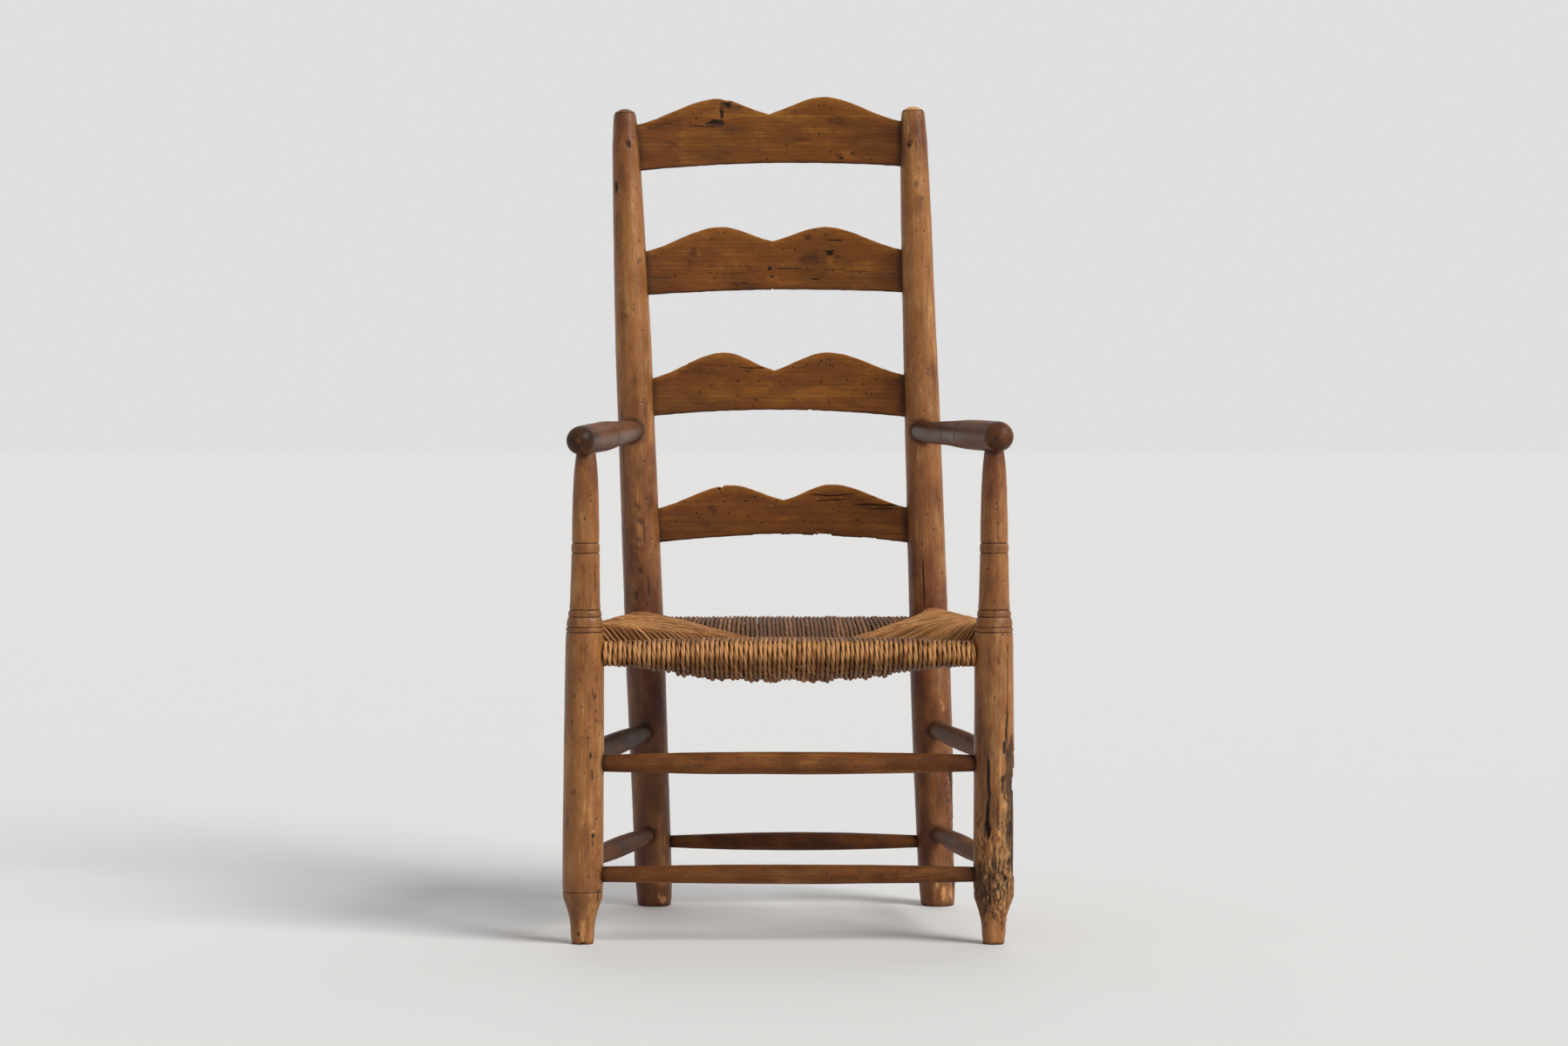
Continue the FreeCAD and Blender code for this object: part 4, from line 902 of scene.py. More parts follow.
def old_wood(name, colours, lines_of, fibre, hole_share, gloss_of, grain=None):
    """Old stained and waxed wood: fine fibres and a slow mottle between three tones, thin dark
    growth lines, short open pores, worm holes, and stains and wear from the piece's marks.
    lines_of is the distance between growth lines and how dark they are, fibre a fibre's width
    and gloss_of the roughness and the specular level. grain is the axis along which it lies in
    a node that keeps its own shape."""
    light, middle, dark, red = colours
    line_gap, line_share = lines_of
    roughness, specular = gloss_of
    material = bpy.data.materials.new(name)
    add = empty_nodes(material)
    if grain is None:
        grain = "Z"
        place, marks, zones = (add("Attribute", {"attribute_name": key}, out="Vector")
                               for key in ("grain_place", "marks", "zones"))
    else:
        place = add("TexCoord", out="Object")
        marks = zones = add("CombineXYZ")
    hollow, bare, grime = add("SeparateXYZ", None, {0: marks}).node.outputs[:3]
    stained, darkened, _ = add("SeparateXYZ", None, {0: zones}).node.outputs[:3]
    along, slow, dashes = (
        add("VectorMath", MULTIPLY, {0: place, 1: [scale if axis == grain else 1.0 for axis in "XYZ"]})
        for scale in DRAWN_OUT)
    fibres = add("TexNoise", None,
                 {"Vector": along, "Scale": 1 / fibre, "Detail": 4.0, "Roughness": 0.6})
    bands = add("TexNoise", None,
                {"Vector": along, "Scale": 1 / (9 * fibre), "Detail": 3.0, "Roughness": 0.55})
    mottle = add("TexNoise", None,
                 {"Vector": slow, "Scale": 1 / MOTTLE_WIDTH, "Detail": 6.0, "Roughness": 0.58})
    value = add("Math", MULTIPLY, {0: fibres, 1: 0.28})
    for noise, share in ((bands, 0.34), (mottle, 0.38)):
        value = add("Math", MULTIPLY_ADD, {0: noise, 1: share, 2: value})
    low = add("MapRange", SMOOTH, {"Value": value, 1: 0.33, 2: 0.47})
    high = add("MapRange", SMOOTH, {"Value": value, 1: 0.49, 2: 0.66})
    # The red stain, the darkened finish and the dirt are patchy
    patchy = add("MapRange", SMOOTH, {"Value": mottle, 1: 0.65, 2: 0.35, 3: 0.55})
    red_share, dark_share, dirt = (add("Math", MULTIPLY, {0: share, 1: patchy})
                                   for share in (stained, darkened, grime))
    dirt = add("Math", CLAMPED_ADD,
               {0: dirt, 1: 0.7, 2: add("Math", MULTIPLY, {0: grime, 1: 0.35})})
    dark_red = add("Mix", COLOUR, {FACTOR: low, FIRST: opaque(red, 0.5), SECOND: opaque(red)}, MIXED)
    # Growth lines, seen as thin dark strokes that come and go
    rings = add("TexWave", RINGS,
                {"Vector": along, "Scale": RING_SCALE / line_gap, "Distortion": 3.0, "Detail": 3.0,
                 "Detail Scale": 0.6, "Detail Roughness": 0.6})
    lines = add("MapRange", SMOOTH, {"Value": rings, 1: 0.80, 2: 1.0, 4: line_share})
    gaps = add("MapRange", SMOOTH, {"Value": bands, 1: 0.36, 2: 0.54})
    lines = add("Math", MULTIPLY, {0: lines, 1: gaps})
    bare_tone = add("Mix", COLOUR,
                    {FACTOR: fibres, FIRST: opaque(middle, 1.1), SECOND: opaque(light, 1.7)}, MIXED)
    # Pores: short dashes about 0.3 mm wide, drawn a little coarser so that they show
    pores = add("TexNoise", None, {"Vector": dashes, "Scale": 1 / PORE_WIDTH, "Detail": 1.0})
    pores = add("MapRange", SMOOTH, {"Value": pores, 1: 0.61, 2: 0.71, 4: 0.45})
    # Worm holes: one point in each cell, few of them open
    cells = add("TexVoronoi", None, {"Vector": place, "Scale": 1 / HOLE_CELL}).node.outputs
    pricks = add("MapRange", SMOOTH, {"Value": cells["Distance"], 1: 0.125, 2: 0.085})
    drawn = add("SeparateXYZ", None, {0: cells["Color"]})
    swarm = add("MapRange", None, {"Value": mottle, 1: 0.62, 2: 0.40, 4: 2 * hole_share})
    present = add("Math", {"operation": "LESS_THAN"}, {0: drawn, 1: swarm})
    pricks = add("Math", MULTIPLY, {0: pricks, 1: present})
    holes = add("Math", MAXIMUM, {0: pricks, 1: hollow})
    opened = add("Math", MAXIMUM, {0: holes, 1: pores})
    tone = opaque(dark)
    for share, colour in ((low, opaque(middle)), (high, opaque(light)), (red_share, dark_red),
                          (dark_share, opaque(dark, 0.45)), (lines, opaque(dark, 0.6)),
                          (bare, bare_tone), (dirt, opaque(dark, 0.16)),
                          (opened, opaque(dark, 0.08))):
        tone = add("Mix", COLOUR, {FACTOR: share, FIRST: tone, SECOND: colour}, MIXED)
    gloss = add("MapRange", None,
                {"Value": mottle, 1: 0.3, 2: 0.7, 3: roughness - 0.06, 4: roughness + 0.1})
    rough = add("Math", MAXIMUM, {0: holes, 1: bare})
    rough = add("Math", MAXIMUM, {0: rough, 1: grime})
    gloss = add("Math", CLAMPED_ADD, {0: rough, 1: 0.25, 2: gloss})
    relief = add("Math", MULTIPLY, {0: fibres, 1: 0.35})
    for feature, height in ((pricks, -3.0), (pores, -0.5), (lines, -0.4)):
        relief = add("Math", MULTIPLY_ADD, {0: feature, 1: height, 2: relief})
    bump = add("Bump", None, {"Height": relief, "Distance": 0.25 * MM, "Strength": 0.8})
    shader = add("BsdfPrincipled", None, {"Base Color": tone, "Roughness": gloss, "Normal": bump,
                                          "IOR": WOOD_IOR, "Specular IOR Level": specular})
    add("OutputMaterial", None, {"Surface": shader})
    return material


def twisted_rush(name, light, middle, dark):
    """Old rush: flat fibres along each strand, golden where rubbed and at a painted highlight,
    brown with dirt and painted shade, and nearly black where shade is painted into the gaps.
    """
    material = bpy.data.materials.new(name)
    add = empty_nodes(material)
    place, marks = (add("Attribute", {"attribute_name": key}, out="Vector")
                    for key in ("strand_place", "marks"))
    dirt, rubbed, painted_shade = add("SeparateXYZ", None, {0: marks}).node.outputs[:3]
    along, lengths = (add("VectorMath", MULTIPLY, {0: place, 1: (1.0, 1.0, scale)})
                      for scale in RUSH_DRAWN_OUT)
    fibres = add("TexNoise", None,
                 {"Vector": along, "Scale": 1 / (0.6 * MM), "Detail": 3.0, "Roughness": 0.6})
    patches = add("TexNoise", None, {"Vector": lengths, "Scale": 1 / (4.5 * MM), "Detail": 2.0})
    mixed = add("Math", MULTIPLY_ADD, {0: patches, 1: 0.9, 2: rubbed})
    pale = add("MapRange", SMOOTH, {"Value": mixed, 1: 0.5, 2: 1.35})
    streak = add("MapRange", SMOOTH, {"Value": fibres, 1: 0.30, 2: 0.56, 3: 0.25})
    clean = add("Mix", COLOUR, {FACTOR: pale, FIRST: opaque(middle), SECOND: opaque(light)}, MIXED)
    tone = opaque(dark)
    # The last mix is painted shade, from the third share of the marks
    for share, colour in ((streak, clean), (dirt, opaque(dark)), (painted_shade, opaque(dark, 0.2))):
        tone = add("Mix", COLOUR, {FACTOR: share, FIRST: tone, SECOND: colour}, MIXED)
    gloss = add("MapRange", None, {"Value": patches, 1: 0.3, 2: 0.7, 3: 0.40, 4: 0.58})
    bump = add("Bump", None, {"Height": fibres, "Distance": 0.35 * MM, "Strength": 0.8})
    shader = add("BsdfPrincipled", None, {"Base Color": tone, "Roughness": gloss, "Normal": bump,
                                          "IOR": RUSH_IOR, "Specular IOR Level": 0.18})
    add("OutputMaterial", None, {"Surface": shader})
    return material


# Rush seat: each cord runs from its mitre over the rail and back underneath

SEAM_ENDS = {"left": np.array((-0.044, 0.001)), "right": np.array((0.084, 0.001))}
SEAM_TOP = 392.8 * MM           # height of the cords' middles at the seam
LAID_RADIUS = 12.7 * MM         # of a cord's middle round its rail
POST_MARGIN = 28.2 * MM         # from a post's axis to the first cord
MITRE_START = 0.10              # share of the mitre hidden by a post
DIVE_LENGTH = 5 * MM            # every cord goes under at its end
DIVE_DEPTH = 4.0 * MM
TOP_STEP = 2.4 * MM
WRAP_STEP = 1.8 * MM
UNDER_STEP = 4.0 * MM
CROWN = 3.5 * MM                # how far a long cord bulges on top, over the stuffing
CROWN_SPAN = 0.12               # and from which length on
SAG_HEIGHT = 350.5 * MM         # of the cords under the middle of the seat
SAG_RISE = 23 * MM              # and how much higher they are at the rails' corners
SAG_HALF = 0.235
SAG_REACH = 24 * MM             # how fast they fall behind the rails
KNOT_LENGTH = 9 * MM
STRAND_SIDES = 6

# Knots that hang below the front of the seat: mm across, how far behind the rail and how deep
KNOTS = [(-139, 52, 5.0), (-118, 48, 6.0), (-104, 50, 7.5), (-90, 55, 6.0), (-75, 46, 5.0),
         (-53, 52, 6.5), (-22, 50, 7.0), (-18, 56, 6.0), (21, 50, 6.0), (34, 48, 6.5),
         (55, 54, 7.5), (87, 50, 6.0), (104, 52, 7.0), (133, 48, 5.0)]
KNOT_PULL = ((0, 1.0), (-1, 0.55), (1, 0.45))   # a knot's share of its own and the next cords

# A panel: the two posts at its rail, the panels on its two mitres, the ends of the seam there,
# the shares of its cords at which the seam starts and ends, how many cords, and which way is
# out. Then how its cords lie: over what length they come down at the mitre, how high they lie
# above their rail, and how far they reach past the mitre.
Panel = namedtuple("Panel", "posts beside seam_ends seam cords out drop lift overlap")
PANELS = {
    "front": Panel(("front_left_post", "front_right_post"), ("left", "right"), ("left", "right"),
                   (0.40, 0.68), 77, (0, -1), 15 * MM, 3.0 * MM, 0.0),
    "back": Panel(("back_left_post", "back_right_post"), ("left", "right"), ("left", "right"),
                  (0.37, 0.73), 60, (0, 1), 15 * MM, 5.5 * MM, 0.0),
    "left": Panel(("front_left_post", "back_left_post"), ("front", "back"), ("left", "left"),
                  (0.50, 0.50), 55, (-1, 0), 22 * MM, 1.0 * MM, 6 * MM),
    "right": Panel(("front_right_post", "back_right_post"), ("front", "back"), ("right", "right"),
                   (0.50, 0.50), 55, (1, 0), 60 * MM, 0.0, 6 * MM),
}

# A laid cord: its points, how far along each lies, the direction of its rail, how much a knot
# swells it at each point, how many points are on top, and the first one that is underneath
Cord = namedtuple("Cord", "line run rail swell top under")


def post_foot(name):
    """The middle of a post's foot, which is one of the record's mounts."""
    mounts = {mount["name"]: mount["pos_m"] for mount in frame["record"]["mounts"]}
    return np.array(mounts[name.replace("post", "foot")], float)


def rail_height(panel):
    low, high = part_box(panel + "_seat_rail")
    return (low[2] + high[2]) / 2


def seat_corner(post, height):
    """Where the axis of a post passes a height."""
    foot = post_foot(post)
    top = axis_ends(node_surface(post)[0], np.array([0.0, 0.0, 1.0]))[1]
    along = unit(top - foot)
    return foot + along * (height - foot[2]) / along[2]


def sag(plan):
    """Height of the underside's cords well behind the rails."""
    rise = np.clip((abs(plan[..., 0]) / SAG_HALF - 0.2) / 0.8, 0, 1) ** 1.3
    return SAG_HEIGHT + SAG_RISE * np.maximum(rise, 0.4 * soft_step(plan[..., 1], 0.0, 0.19))


def front_knots(start, rail, span, count):
    """Which cords of the front panel hang in a knot: how far behind the rail and how deep."""
    knots = {}
    for across, behind, deep in KNOTS:
        share = (across * MM - start[0] - POST_MARGIN * rail[0]) / ((span - 2 * POST_MARGIN) * rail[0])
        middle = int(round(share * (count - 1)))
        for step, part in KNOT_PULL:
            if part * deep * MM > knots.get(middle + step, (0, 0))[1]:
                knots[middle + step] = (behind * MM, part * deep * MM)
    return knots


def meeting(panel, share, start, end):
    """Where a cord meets the cord of the next panel: the point in plan, the share of the way
    from the post to the seam, and the next panel."""
    near, far = (SEAM_ENDS[seam] for seam in panel.seam_ends)
    seam_from, seam_to = panel.seam
    if share < seam_from:
        reach = MITRE_START + (1 - MITRE_START) * share / seam_from
        return start[:2] + (near - start[:2]) * reach, reach, panel.beside[0]
    if share > seam_to:
        reach = MITRE_START + (1 - MITRE_START) * (1 - share) / (1 - seam_to)
        return end[:2] + (far - end[:2]) * reach, reach, panel.beside[1]
    along_seam = (share - seam_from) / (seam_to - seam_from) if seam_to > seam_from else 0.0
    return near + (far - near) * along_seam, 1.0, panel.beside[0]


def on_top(panel, mitre, laid, reach, own, other):
    """A cord from its mitre to the top of its rail. own and other are the heights of the cords
    on its own rail and on the next panel's."""
    length = np.linalg.norm(laid[:2] - mitre)
    part = np.linspace(0, 1, max(4, int(length / TOP_STEP) + 1))
    away = part * length
    low, high = (level + (SEAM_TOP - level) * reach for level in (own, other))
    z = low + (own - low + panel.lift) * part
    z = z + CROWN * min(1.0, length / CROWN_SPAN) * np.sin(math.pi * part) ** 1.5
    z = z - max(0.0, low - high) * (1 - soft_step(away, 0, min(panel.drop, 0.75 * length)))
    z = z - DIVE_DEPTH * (1 - soft_step(away, 0, DIVE_LENGTH))
    over = (mitre - laid[:2]) / length * panel.overlap
    return np.column_stack([mitre + over + (laid[:2] - mitre - over) * part[:, None], z])


def round_rail(panel, laid, outward, radius):
    """A cord round its rail, as far as where it leaves downwards."""
    steep = math.atan(max(0.0, laid[2] - radius - sag(laid)) / SAG_REACH)
    turn = np.linspace(0, math.pi - steep, int((math.pi - steep) * radius / WRAP_STEP) + 1)[1:]
    wrap = laid + radius * (np.cos(turn)[:, None] * [0, 0, 1] + np.sin(turn)[:, None] * outward)
    wrap[:, 2] += panel.lift * np.maximum(np.cos(turn), 0)
    return wrap


def underneath(begin, mitre, knot, droop):
    """A cord where it falls behind the rail and sags, and how much a knot swells it."""
    length = np.linalg.norm(begin[:2] - mitre)
    part = np.linspace(1, 0, max(6, int(length / UNDER_STEP) + 1))[1:]
    behind = (1 - part) * length
    plan = mitre + (begin[:2] - mitre) * part[:, None]
    place, deep = knot
    hang = (deep > 0) * np.exp(-((behind - place) / KNOT_LENGTH) ** 2)
    z = begin[2] + (sag(plan) - begin[2]) * (1 - np.exp(-behind / SAG_REACH))
    z = z + DIVE_DEPTH * (1 - soft_step(length - behind, 0, DIVE_LENGTH))
    z = z - 0.6 * deep * hang - droop * np.sin(math.pi * part)
    return np.column_stack([plan, z]), hang


def lay_cords(name, rng):
    """The cords of a panel, each from its mitre over the rail and back underneath."""
    panel = PANELS[name]
    height = rail_height(name)
    start, end = (seat_corner(post, height) for post in panel.posts)
    span = np.linalg.norm(end - start)
    rail = (end - start) / span
    outward = np.array([*panel.out, 0.0])
    outward = unit((outward - rail * (outward @ rail)) * [1, 1, 0])
    knots = front_knots(start, rail, span, panel.cords) if name == "front" else {}
    cords = []
    for number in range(panel.cords):
        share = number / (panel.cords - 1)
        laid = start + rail * (POST_MARGIN + (span - 2 * POST_MARGIN) * share)
        mitre, reach, beside = meeting(panel, share, start, end)
        radius = LAID_RADIUS + rng.uniform(-0.5, 0.7) * MM
        above = on_top(panel, mitre, laid, reach, height + radius, rail_height(beside) + LAID_RADIUS)
        wrap = round_rail(panel, laid, outward, radius)
        droop = 2.0 * MM * abs(rng.uniform(-1, 1)) ** 3
        below, hang = underneath(wrap[-1], mitre, knots.get(number, (0, 0)), droop)
        line = np.concatenate([above, wrap, below])
        run = length_so_far(line)
        sway = np.interp(run, np.linspace(0, run[-1], 9), rng.uniform(-0.6, 0.6, 9))
        line = line + rail * sway[:, None] * MM
        under = len(above) + len(wrap)
        cords.append(Cord(line, run, rail, np.concatenate([np.zeros(under), hang]), len(above), under))
    return cords


class Strands:
    """Collects round strands into one mesh."""

    def __init__(self):
        self.points = []
        self.quads = []
        self.caps = []
        self.places = []
        self.marks = []
        self.count = 0

    def add(self, middles, across, other, radii, flat, start, marks, cord=None):
        """A strand along middles. across and other span its section, which is flat times as
        thick along other. start offsets its fibres and marks are rows of shares. cord is the
        line, the outward directions and the radius of the cord it belongs to, and how dark
        the painted shade in that cord's gaps is."""
        turn = np.linspace(0, 2 * math.pi, STRAND_SIDES, endpoint=False)
        lateral = radii[:, None] * np.cos(turn)
        upright = radii[:, None] * np.sin(turn)
        ring = lateral[..., None] * across[:, None] + flat * upright[..., None] * other[:, None]
        rows = len(middles)
        run = np.repeat(length_so_far(middles)[:, None], STRAND_SIDES, axis=1)
        place = np.stack([lateral, upright, run], axis=-1)
        points = middles[:, None] + ring
        marks = np.repeat(marks[:, None], STRAND_SIDES, axis=1)
        if cord is not None:
            line, outward, radius, gap_shade = cord
            # Painted shade: darker below the outer half of the cord, where it meets its neighbours, and in
            # the grooves between its plies
            from_line = points - line[:, None]
            height = (from_line * outward[:, None]).sum(axis=-1) / radius
            depth = 1 - soft_step(height, -0.1, 0.75)
            groove = 1 - soft_step(np.linalg.norm(from_line, axis=-1) / radius, 0.55, 0.98)
            marks[..., 2] = np.clip(np.maximum(marks[..., 2], gap_shade * depth) + 0.25 * gap_shade * groove, 0, 1)
        self.points.append(points.reshape(-1, 3))
        self.places.append((place + start).reshape(-1, 3))
        self.marks.append(marks.reshape(-1, 3))
        self.quads.append(tube_faces(rows, STRAND_SIDES)[0] + self.count)
        ends = np.arange(STRAND_SIDES)
        self.caps.append(np.stack([ends[::-1], ends + (rows - 1) * STRAND_SIDES]) + self.count)
        self.count += rows * STRAND_SIDES

    def piece(self, name, node, slot, material, core=((), (), ()), core_faces=()):
        """A piece of all the strands, and of a core given by its points, places and marks."""
        base = len(core[0])
        points, places, marks = (
            np.concatenate([np.reshape(own, (-1, 3)), *rows])
            for own, rows in zip(core, (self.points, self.places, self.marks)))
        faces = [*core_faces, np.concatenate(self.quads) + base, np.concatenate(self.caps) + base]
        return mesh_piece(name, points, faces, [node], slot, material, strand_place=places, marks=marks)


def frame_along(line, side):
    """Directions at each point of a line: along it, across it and out of the seat."""
    tangent = unit_rows(np.gradient(line, axis=0))
    up = unit_rows(np.cross(side, tangent))
    up = up * np.sign(up[0, 2])
    return tangent, unit_rows(np.cross(tangent, up)), up


def wandering(count, knots, low, high, rng):
    """A value that wanders between low and high from the first of count points to the last."""
    drawn = rng.uniform(low, high, knots)
    return np.interp(np.linspace(0, 1, count), np.linspace(0, 1, knots), drawn)


def twist_cord(strands, cord, weave, size, lays, marks, rng):
    """Twists plies round a cord's line. lays is the length of one turn at each point."""
    plies, reach, radius, flat, gap_shade = weave
    reach = reach * size
    radius = radius * size
    line = cord.line
    swell = cord.swell
    phase = rng.uniform(0, 6.28)
    tangent, across, up = frame_along(line, cord.rail)
    steps = np.linalg.norm(np.diff(line, axis=0), axis=1)
    turned = np.concatenate([[0], np.cumsum(steps * 2 / (lays[1:] + lays[:-1]))]) * 2 * math.pi
    for ply in range(plies):
        angle = turned + phase + 2 * math.pi * ply / plies
        radial = np.cos(angle)[:, None] * across + np.sin(angle)[:, None] * up * flat
        middles = line + reach * (1 + 0.3 * swell[:, None]) * radial
        out = unit_rows(radial)
        other = unit_rows(np.cross(tangent, out))
        thick = 1 + 0.08 * rng.uniform(-1, 1) + 0.12 * wandering(len(line), 14, -1, 1, rng)
        own = marks.copy()
        own[:, 1] += rng.uniform(-0.4, 0.45)
        strands.add(middles, out, other, radius * thick * (1 + 0.35 * swell), 1.0,
                    rng.uniform(0, 1, 3), own, (line, up, (reach + radius) * flat, gap_shade))


def lay_straw(strands, cord, rng):
    """A loose bright straw that lies along a stretch of the top of a cord."""
    count = int(rng.integers(*STRAW_POINTS))
    if cord.top < count + STRAW_ROOM:
        return
    first = int(rng.integers(10, cord.top - count))
    part = cord.line[first:first + count]
    _, across, up = frame_along(part, cord.rail)
    wander = wandering(count, 3, -3.5, 3.5, rng)
    rise = 2.3 + 0.8 * np.sin(np.linspace(0, math.pi, count)) * rng.uniform(0, 1)
    middles = part + across * wander[:, None] * MM + up * rise[:, None] * MM
    from_end = np.minimum(np.arange(count), np.arange(count)[::-1])
    taper = np.minimum(1, 0.25 + from_end / 4)
    marks = np.tile([rng.uniform(0, 0.3), rng.uniform(0.5, 1.4), 0], (count, 1))
    strands.add(middles, across, up, rng.uniform(0.5, 0.95) * MM * taper, 0.5,
                rng.uniform(0, 1, 3), marks)


def cord_marks(cord, top_dirt, wrap_dirt, rubbed, rng):
    """Shares of dirt and painted shade, of polish and a painted highlight, and of painted shade
    alone along a cord, and how far it has turned to the wrap.
    """
    count = len(cord.line)
    where = np.arange(count)
    wrap = cord.under - cord.top
    wrapped = soft_step(where, cord.top - 6, cord.top + 2)
    lower = soft_step(where, 0.5 * (cord.top + cord.under), cord.under)
    under = soft_step(where, cord.under - 4, cord.under + 18)
    slow = np.interp(cord.run, np.linspace(0, cord.run[-1], 7), rng.uniform(-0.15, 0.15, 7))
    # Darker on the lower half of the wrap and underneath: painted shade, added to the dirt
    dirt = top_dirt + (wrap_dirt - top_dirt) * wrapped + 0.38 * lower + 0.15 * under
    dirt = np.clip(dirt + slow + rng.uniform(-0.18, 0.18), 0, 0.95)
    # Polished where it turns over the rail, and a painted highlight on that crest
    crest = np.exp(-((where - (cord.top + 0.32 * wrap)) / (0.25 * wrap)) ** 2)
    polish_and_highlight = np.clip(rubbed + 0.75 * crest + rng.uniform(-0.4, 0.4) + slow, 0, 1.3)
    # Painted shade where the cords go down under the next panel at the mitres
    from_end = soft_step(cord.run, 0, 3 * MM) * soft_step(cord.run[-1] - cord.run, 0, 3 * MM)
    return np.stack([dirt, polish_and_highlight, 0.8 * (1 - from_end)], axis=-1), wrapped


# What each panel's cords are like: pieces, (plies, how far out a ply lies and its radius in
# mm, flatness, how dark the painted shade in the gaps is), length of a twist on top and round
# the rail against the chosen lay, dirt on top and round the rail, polish, and how many loose
# straws
WEAVES = {
    "front": (3, (3, 1.24, 1.99, 1.0, 0.95), (1.0, 1.0), (0.3, 0.08), 0.25, 0),
    "back": (3, (3, 1.25, 1.90, 1.0, 1.0), (0.9, 0.9), (0.5, 0.55), 0.25, 0),
    "left": (4, (5, 2.15, 1.15, 0.85, 0.5), (5.0, 1.0), (0.0, 0.3), 0.15, 260),
    "right": (4, (5, 2.15, 1.15, 0.85, 0.5), (5.0, 1.0), (0.0, 0.3), 0.6, 260),
}
PLIED_DIAMETER = 6.2 * MM       # of a cord whose plies have the sizes above
STRAW_POINTS = (12, 28)         # points of a cord that a loose straw lies along
STRAW_ROOM = 14


def weave_panel(panel, material, seed, looks):
    rng = np.random.default_rng(seed)
    cords = lay_cords(panel, rng)
    pieces, weave, (top_lay, wrap_lay), dirt, rubbed, straws = WEAVES[panel]
    scale = looks.cord_diameter / PLIED_DIAMETER
    for piece_number, chunk in enumerate(np.array_split(np.arange(len(cords)), pieces), 1):
        strands = Strands()
        for number in chunk:
            marks, wrapped = cord_marks(cords[number], *dirt, rubbed, rng)
            lays = looks.cord_lay * rng.uniform(0.9, 1.15) * (top_lay + (wrap_lay - top_lay) * wrapped)
            size = scale * rng.uniform(0.94, 1.06) * MM
            twist_cord(strands, cords[number], weave, size, lays, marks, rng)
        for _ in range(straws // pieces):
            lay_straw(strands, cords[int(rng.choice(chunk))], rng)
        strands.piece("rush_%s_cords_%d" % (panel, piece_number), "rush_" + panel + "_panel",
                      "rush_cord", material)


# Straw stuffing between the two layers of cords

PAD_VOXEL = 5 * MM
PAD_BELOW = {"front": 3.4 * MM, "back": 3.4 * MM, "left": 4.5 * MM, "right": 4.5 * MM}
PAD_ABOVE = 3.3 * MM            # both from the cords' middles to the straw
STRAWS_PER_PAD = 160
STRAW_LENGTH = (18 * MM, 55 * MM)
STRAW_STEPS = np.linspace(-0.5, 0.5, 9)
LEAST_STEP = 0.3 * MM           # a straw that would crumple more than this is left out


def between_layers(points, cords, clear):
    """Points moved up or down to lie between the upper and lower layer of a panel's cords."""
    heights = []
    for layer in ([cord.line[:cord.top] for cord in cords], [cord.line[cord.under:] for cord in cords]):
        layer = np.concatenate(layer)
        tree = KDTree(len(layer))
        for number, (x, y, _) in enumerate(layer):
            tree.insert((x, y, 0), number)
        tree.balance()
        nearest = [tree.find((x, y, 0))[1] for x, y, _ in points]
        heights.append(layer[nearest, 2])
    high = heights[0] - clear
    low = np.minimum(heights[1] + PAD_ABOVE, high - 2 * MM)
    moved = points.copy()
    moved[:, 2] = np.clip(points[:, 2], low, high)
    return moved


def rounded_node(name):
    """A node's shape with even faces and soft edges: its mesh, points and normals."""
    copy = bpy.data.objects.new(name + "_core", frame["nodes"][name].data.copy())
    bpy.context.scene.collection.objects.link(copy)
    remesh = copy.modifiers.new("Even", "REMESH")
    remesh.mode = "VOXEL"
    remesh.voxel_size = PAD_VOXEL
    smooth = copy.modifiers.new("Soft", "SMOOTH")
    smooth.iterations = 6
    smooth.factor = 0.6
    graph = bpy.context.evaluated_depsgraph_get()
    mesh = bpy.data.meshes.new_from_object(copy.evaluated_get(graph))
    bpy.data.objects.remove(copy)
    return mesh, read_rows(mesh.vertices, "co"), read_rows(mesh.vertex_normals, "vector")


def lay_on_pad(strands, points, tree, rng):
    """A straw that lies on a pad wherever its line comes nearest to it."""
    at = points[rng.integers(len(points))]
    heading = unit(rng.normal(size=3) * [1, 1, 0.25])
    length = rng.uniform(*STRAW_LENGTH)
    found = [tree.find_nearest(Vector(at + heading * step * length)) for step in STRAW_STEPS]
    outs = np.array([normal for _, normal, _, _ in found])
    middles = np.array([place for place, _, _, _ in found]) + outs * 0.25 * MM
    if np.linalg.norm(np.diff(middles, axis=0), axis=1).min() < LEAST_STEP:
        return
    across = unit_rows(np.cross(unit_rows(np.gradient(middles, axis=0)), outs))
    radii = np.full(len(middles), rng.uniform(0.6, 1.1) * MM)
    # A little painted shade on each straw
    marks = np.tile([0.35, rng.uniform(0.2, 0.9), 0.1], (len(middles), 1))
    strands.add(middles, across, outs, radii, 0.4, rng.uniform(0, 1, 3), marks)


def make_stuffing(panel, cords, material, seed, fill):
    """A crumpled pad of straw from the node's shape, with straws all over it."""
    name = "stuffing_" + panel
    mesh, points, normals = rounded_node(name)
    dent = 0.8 + layered_noise(points, seed, (0.7, (14 * MM,) * 3, 0), (0.5, (4 * MM,) * 3, 1))
    points = between_layers(points - normals * dent[:, None] * MM, cords, PAD_BELOW[panel])
    polygons = [tuple(polygon.vertices) for polygon in mesh.polygons]
    faces = [[corners for corners in polygons if len(corners) == size] for size in (3, 4)]
    rng = np.random.default_rng(seed)
    tree = BVHTree.FromPolygons(points.tolist(), polygons)
    strands = Strands()
    for _ in range(STRAWS_PER_PAD):
        lay_on_pad(strands, points, tree, rng)
    # The pad is dirty and a little pale, and darkened with painted shade as it lies inside the seat
    core = (points, points, np.tile([0.55, 0.3, 0.35], (len(points), 1)))
    pad = strands.piece(name + "_pad", name, "straw_stuffing", material, core, faces)
    bpy.data.meshes.remove(mesh)


# Add-on

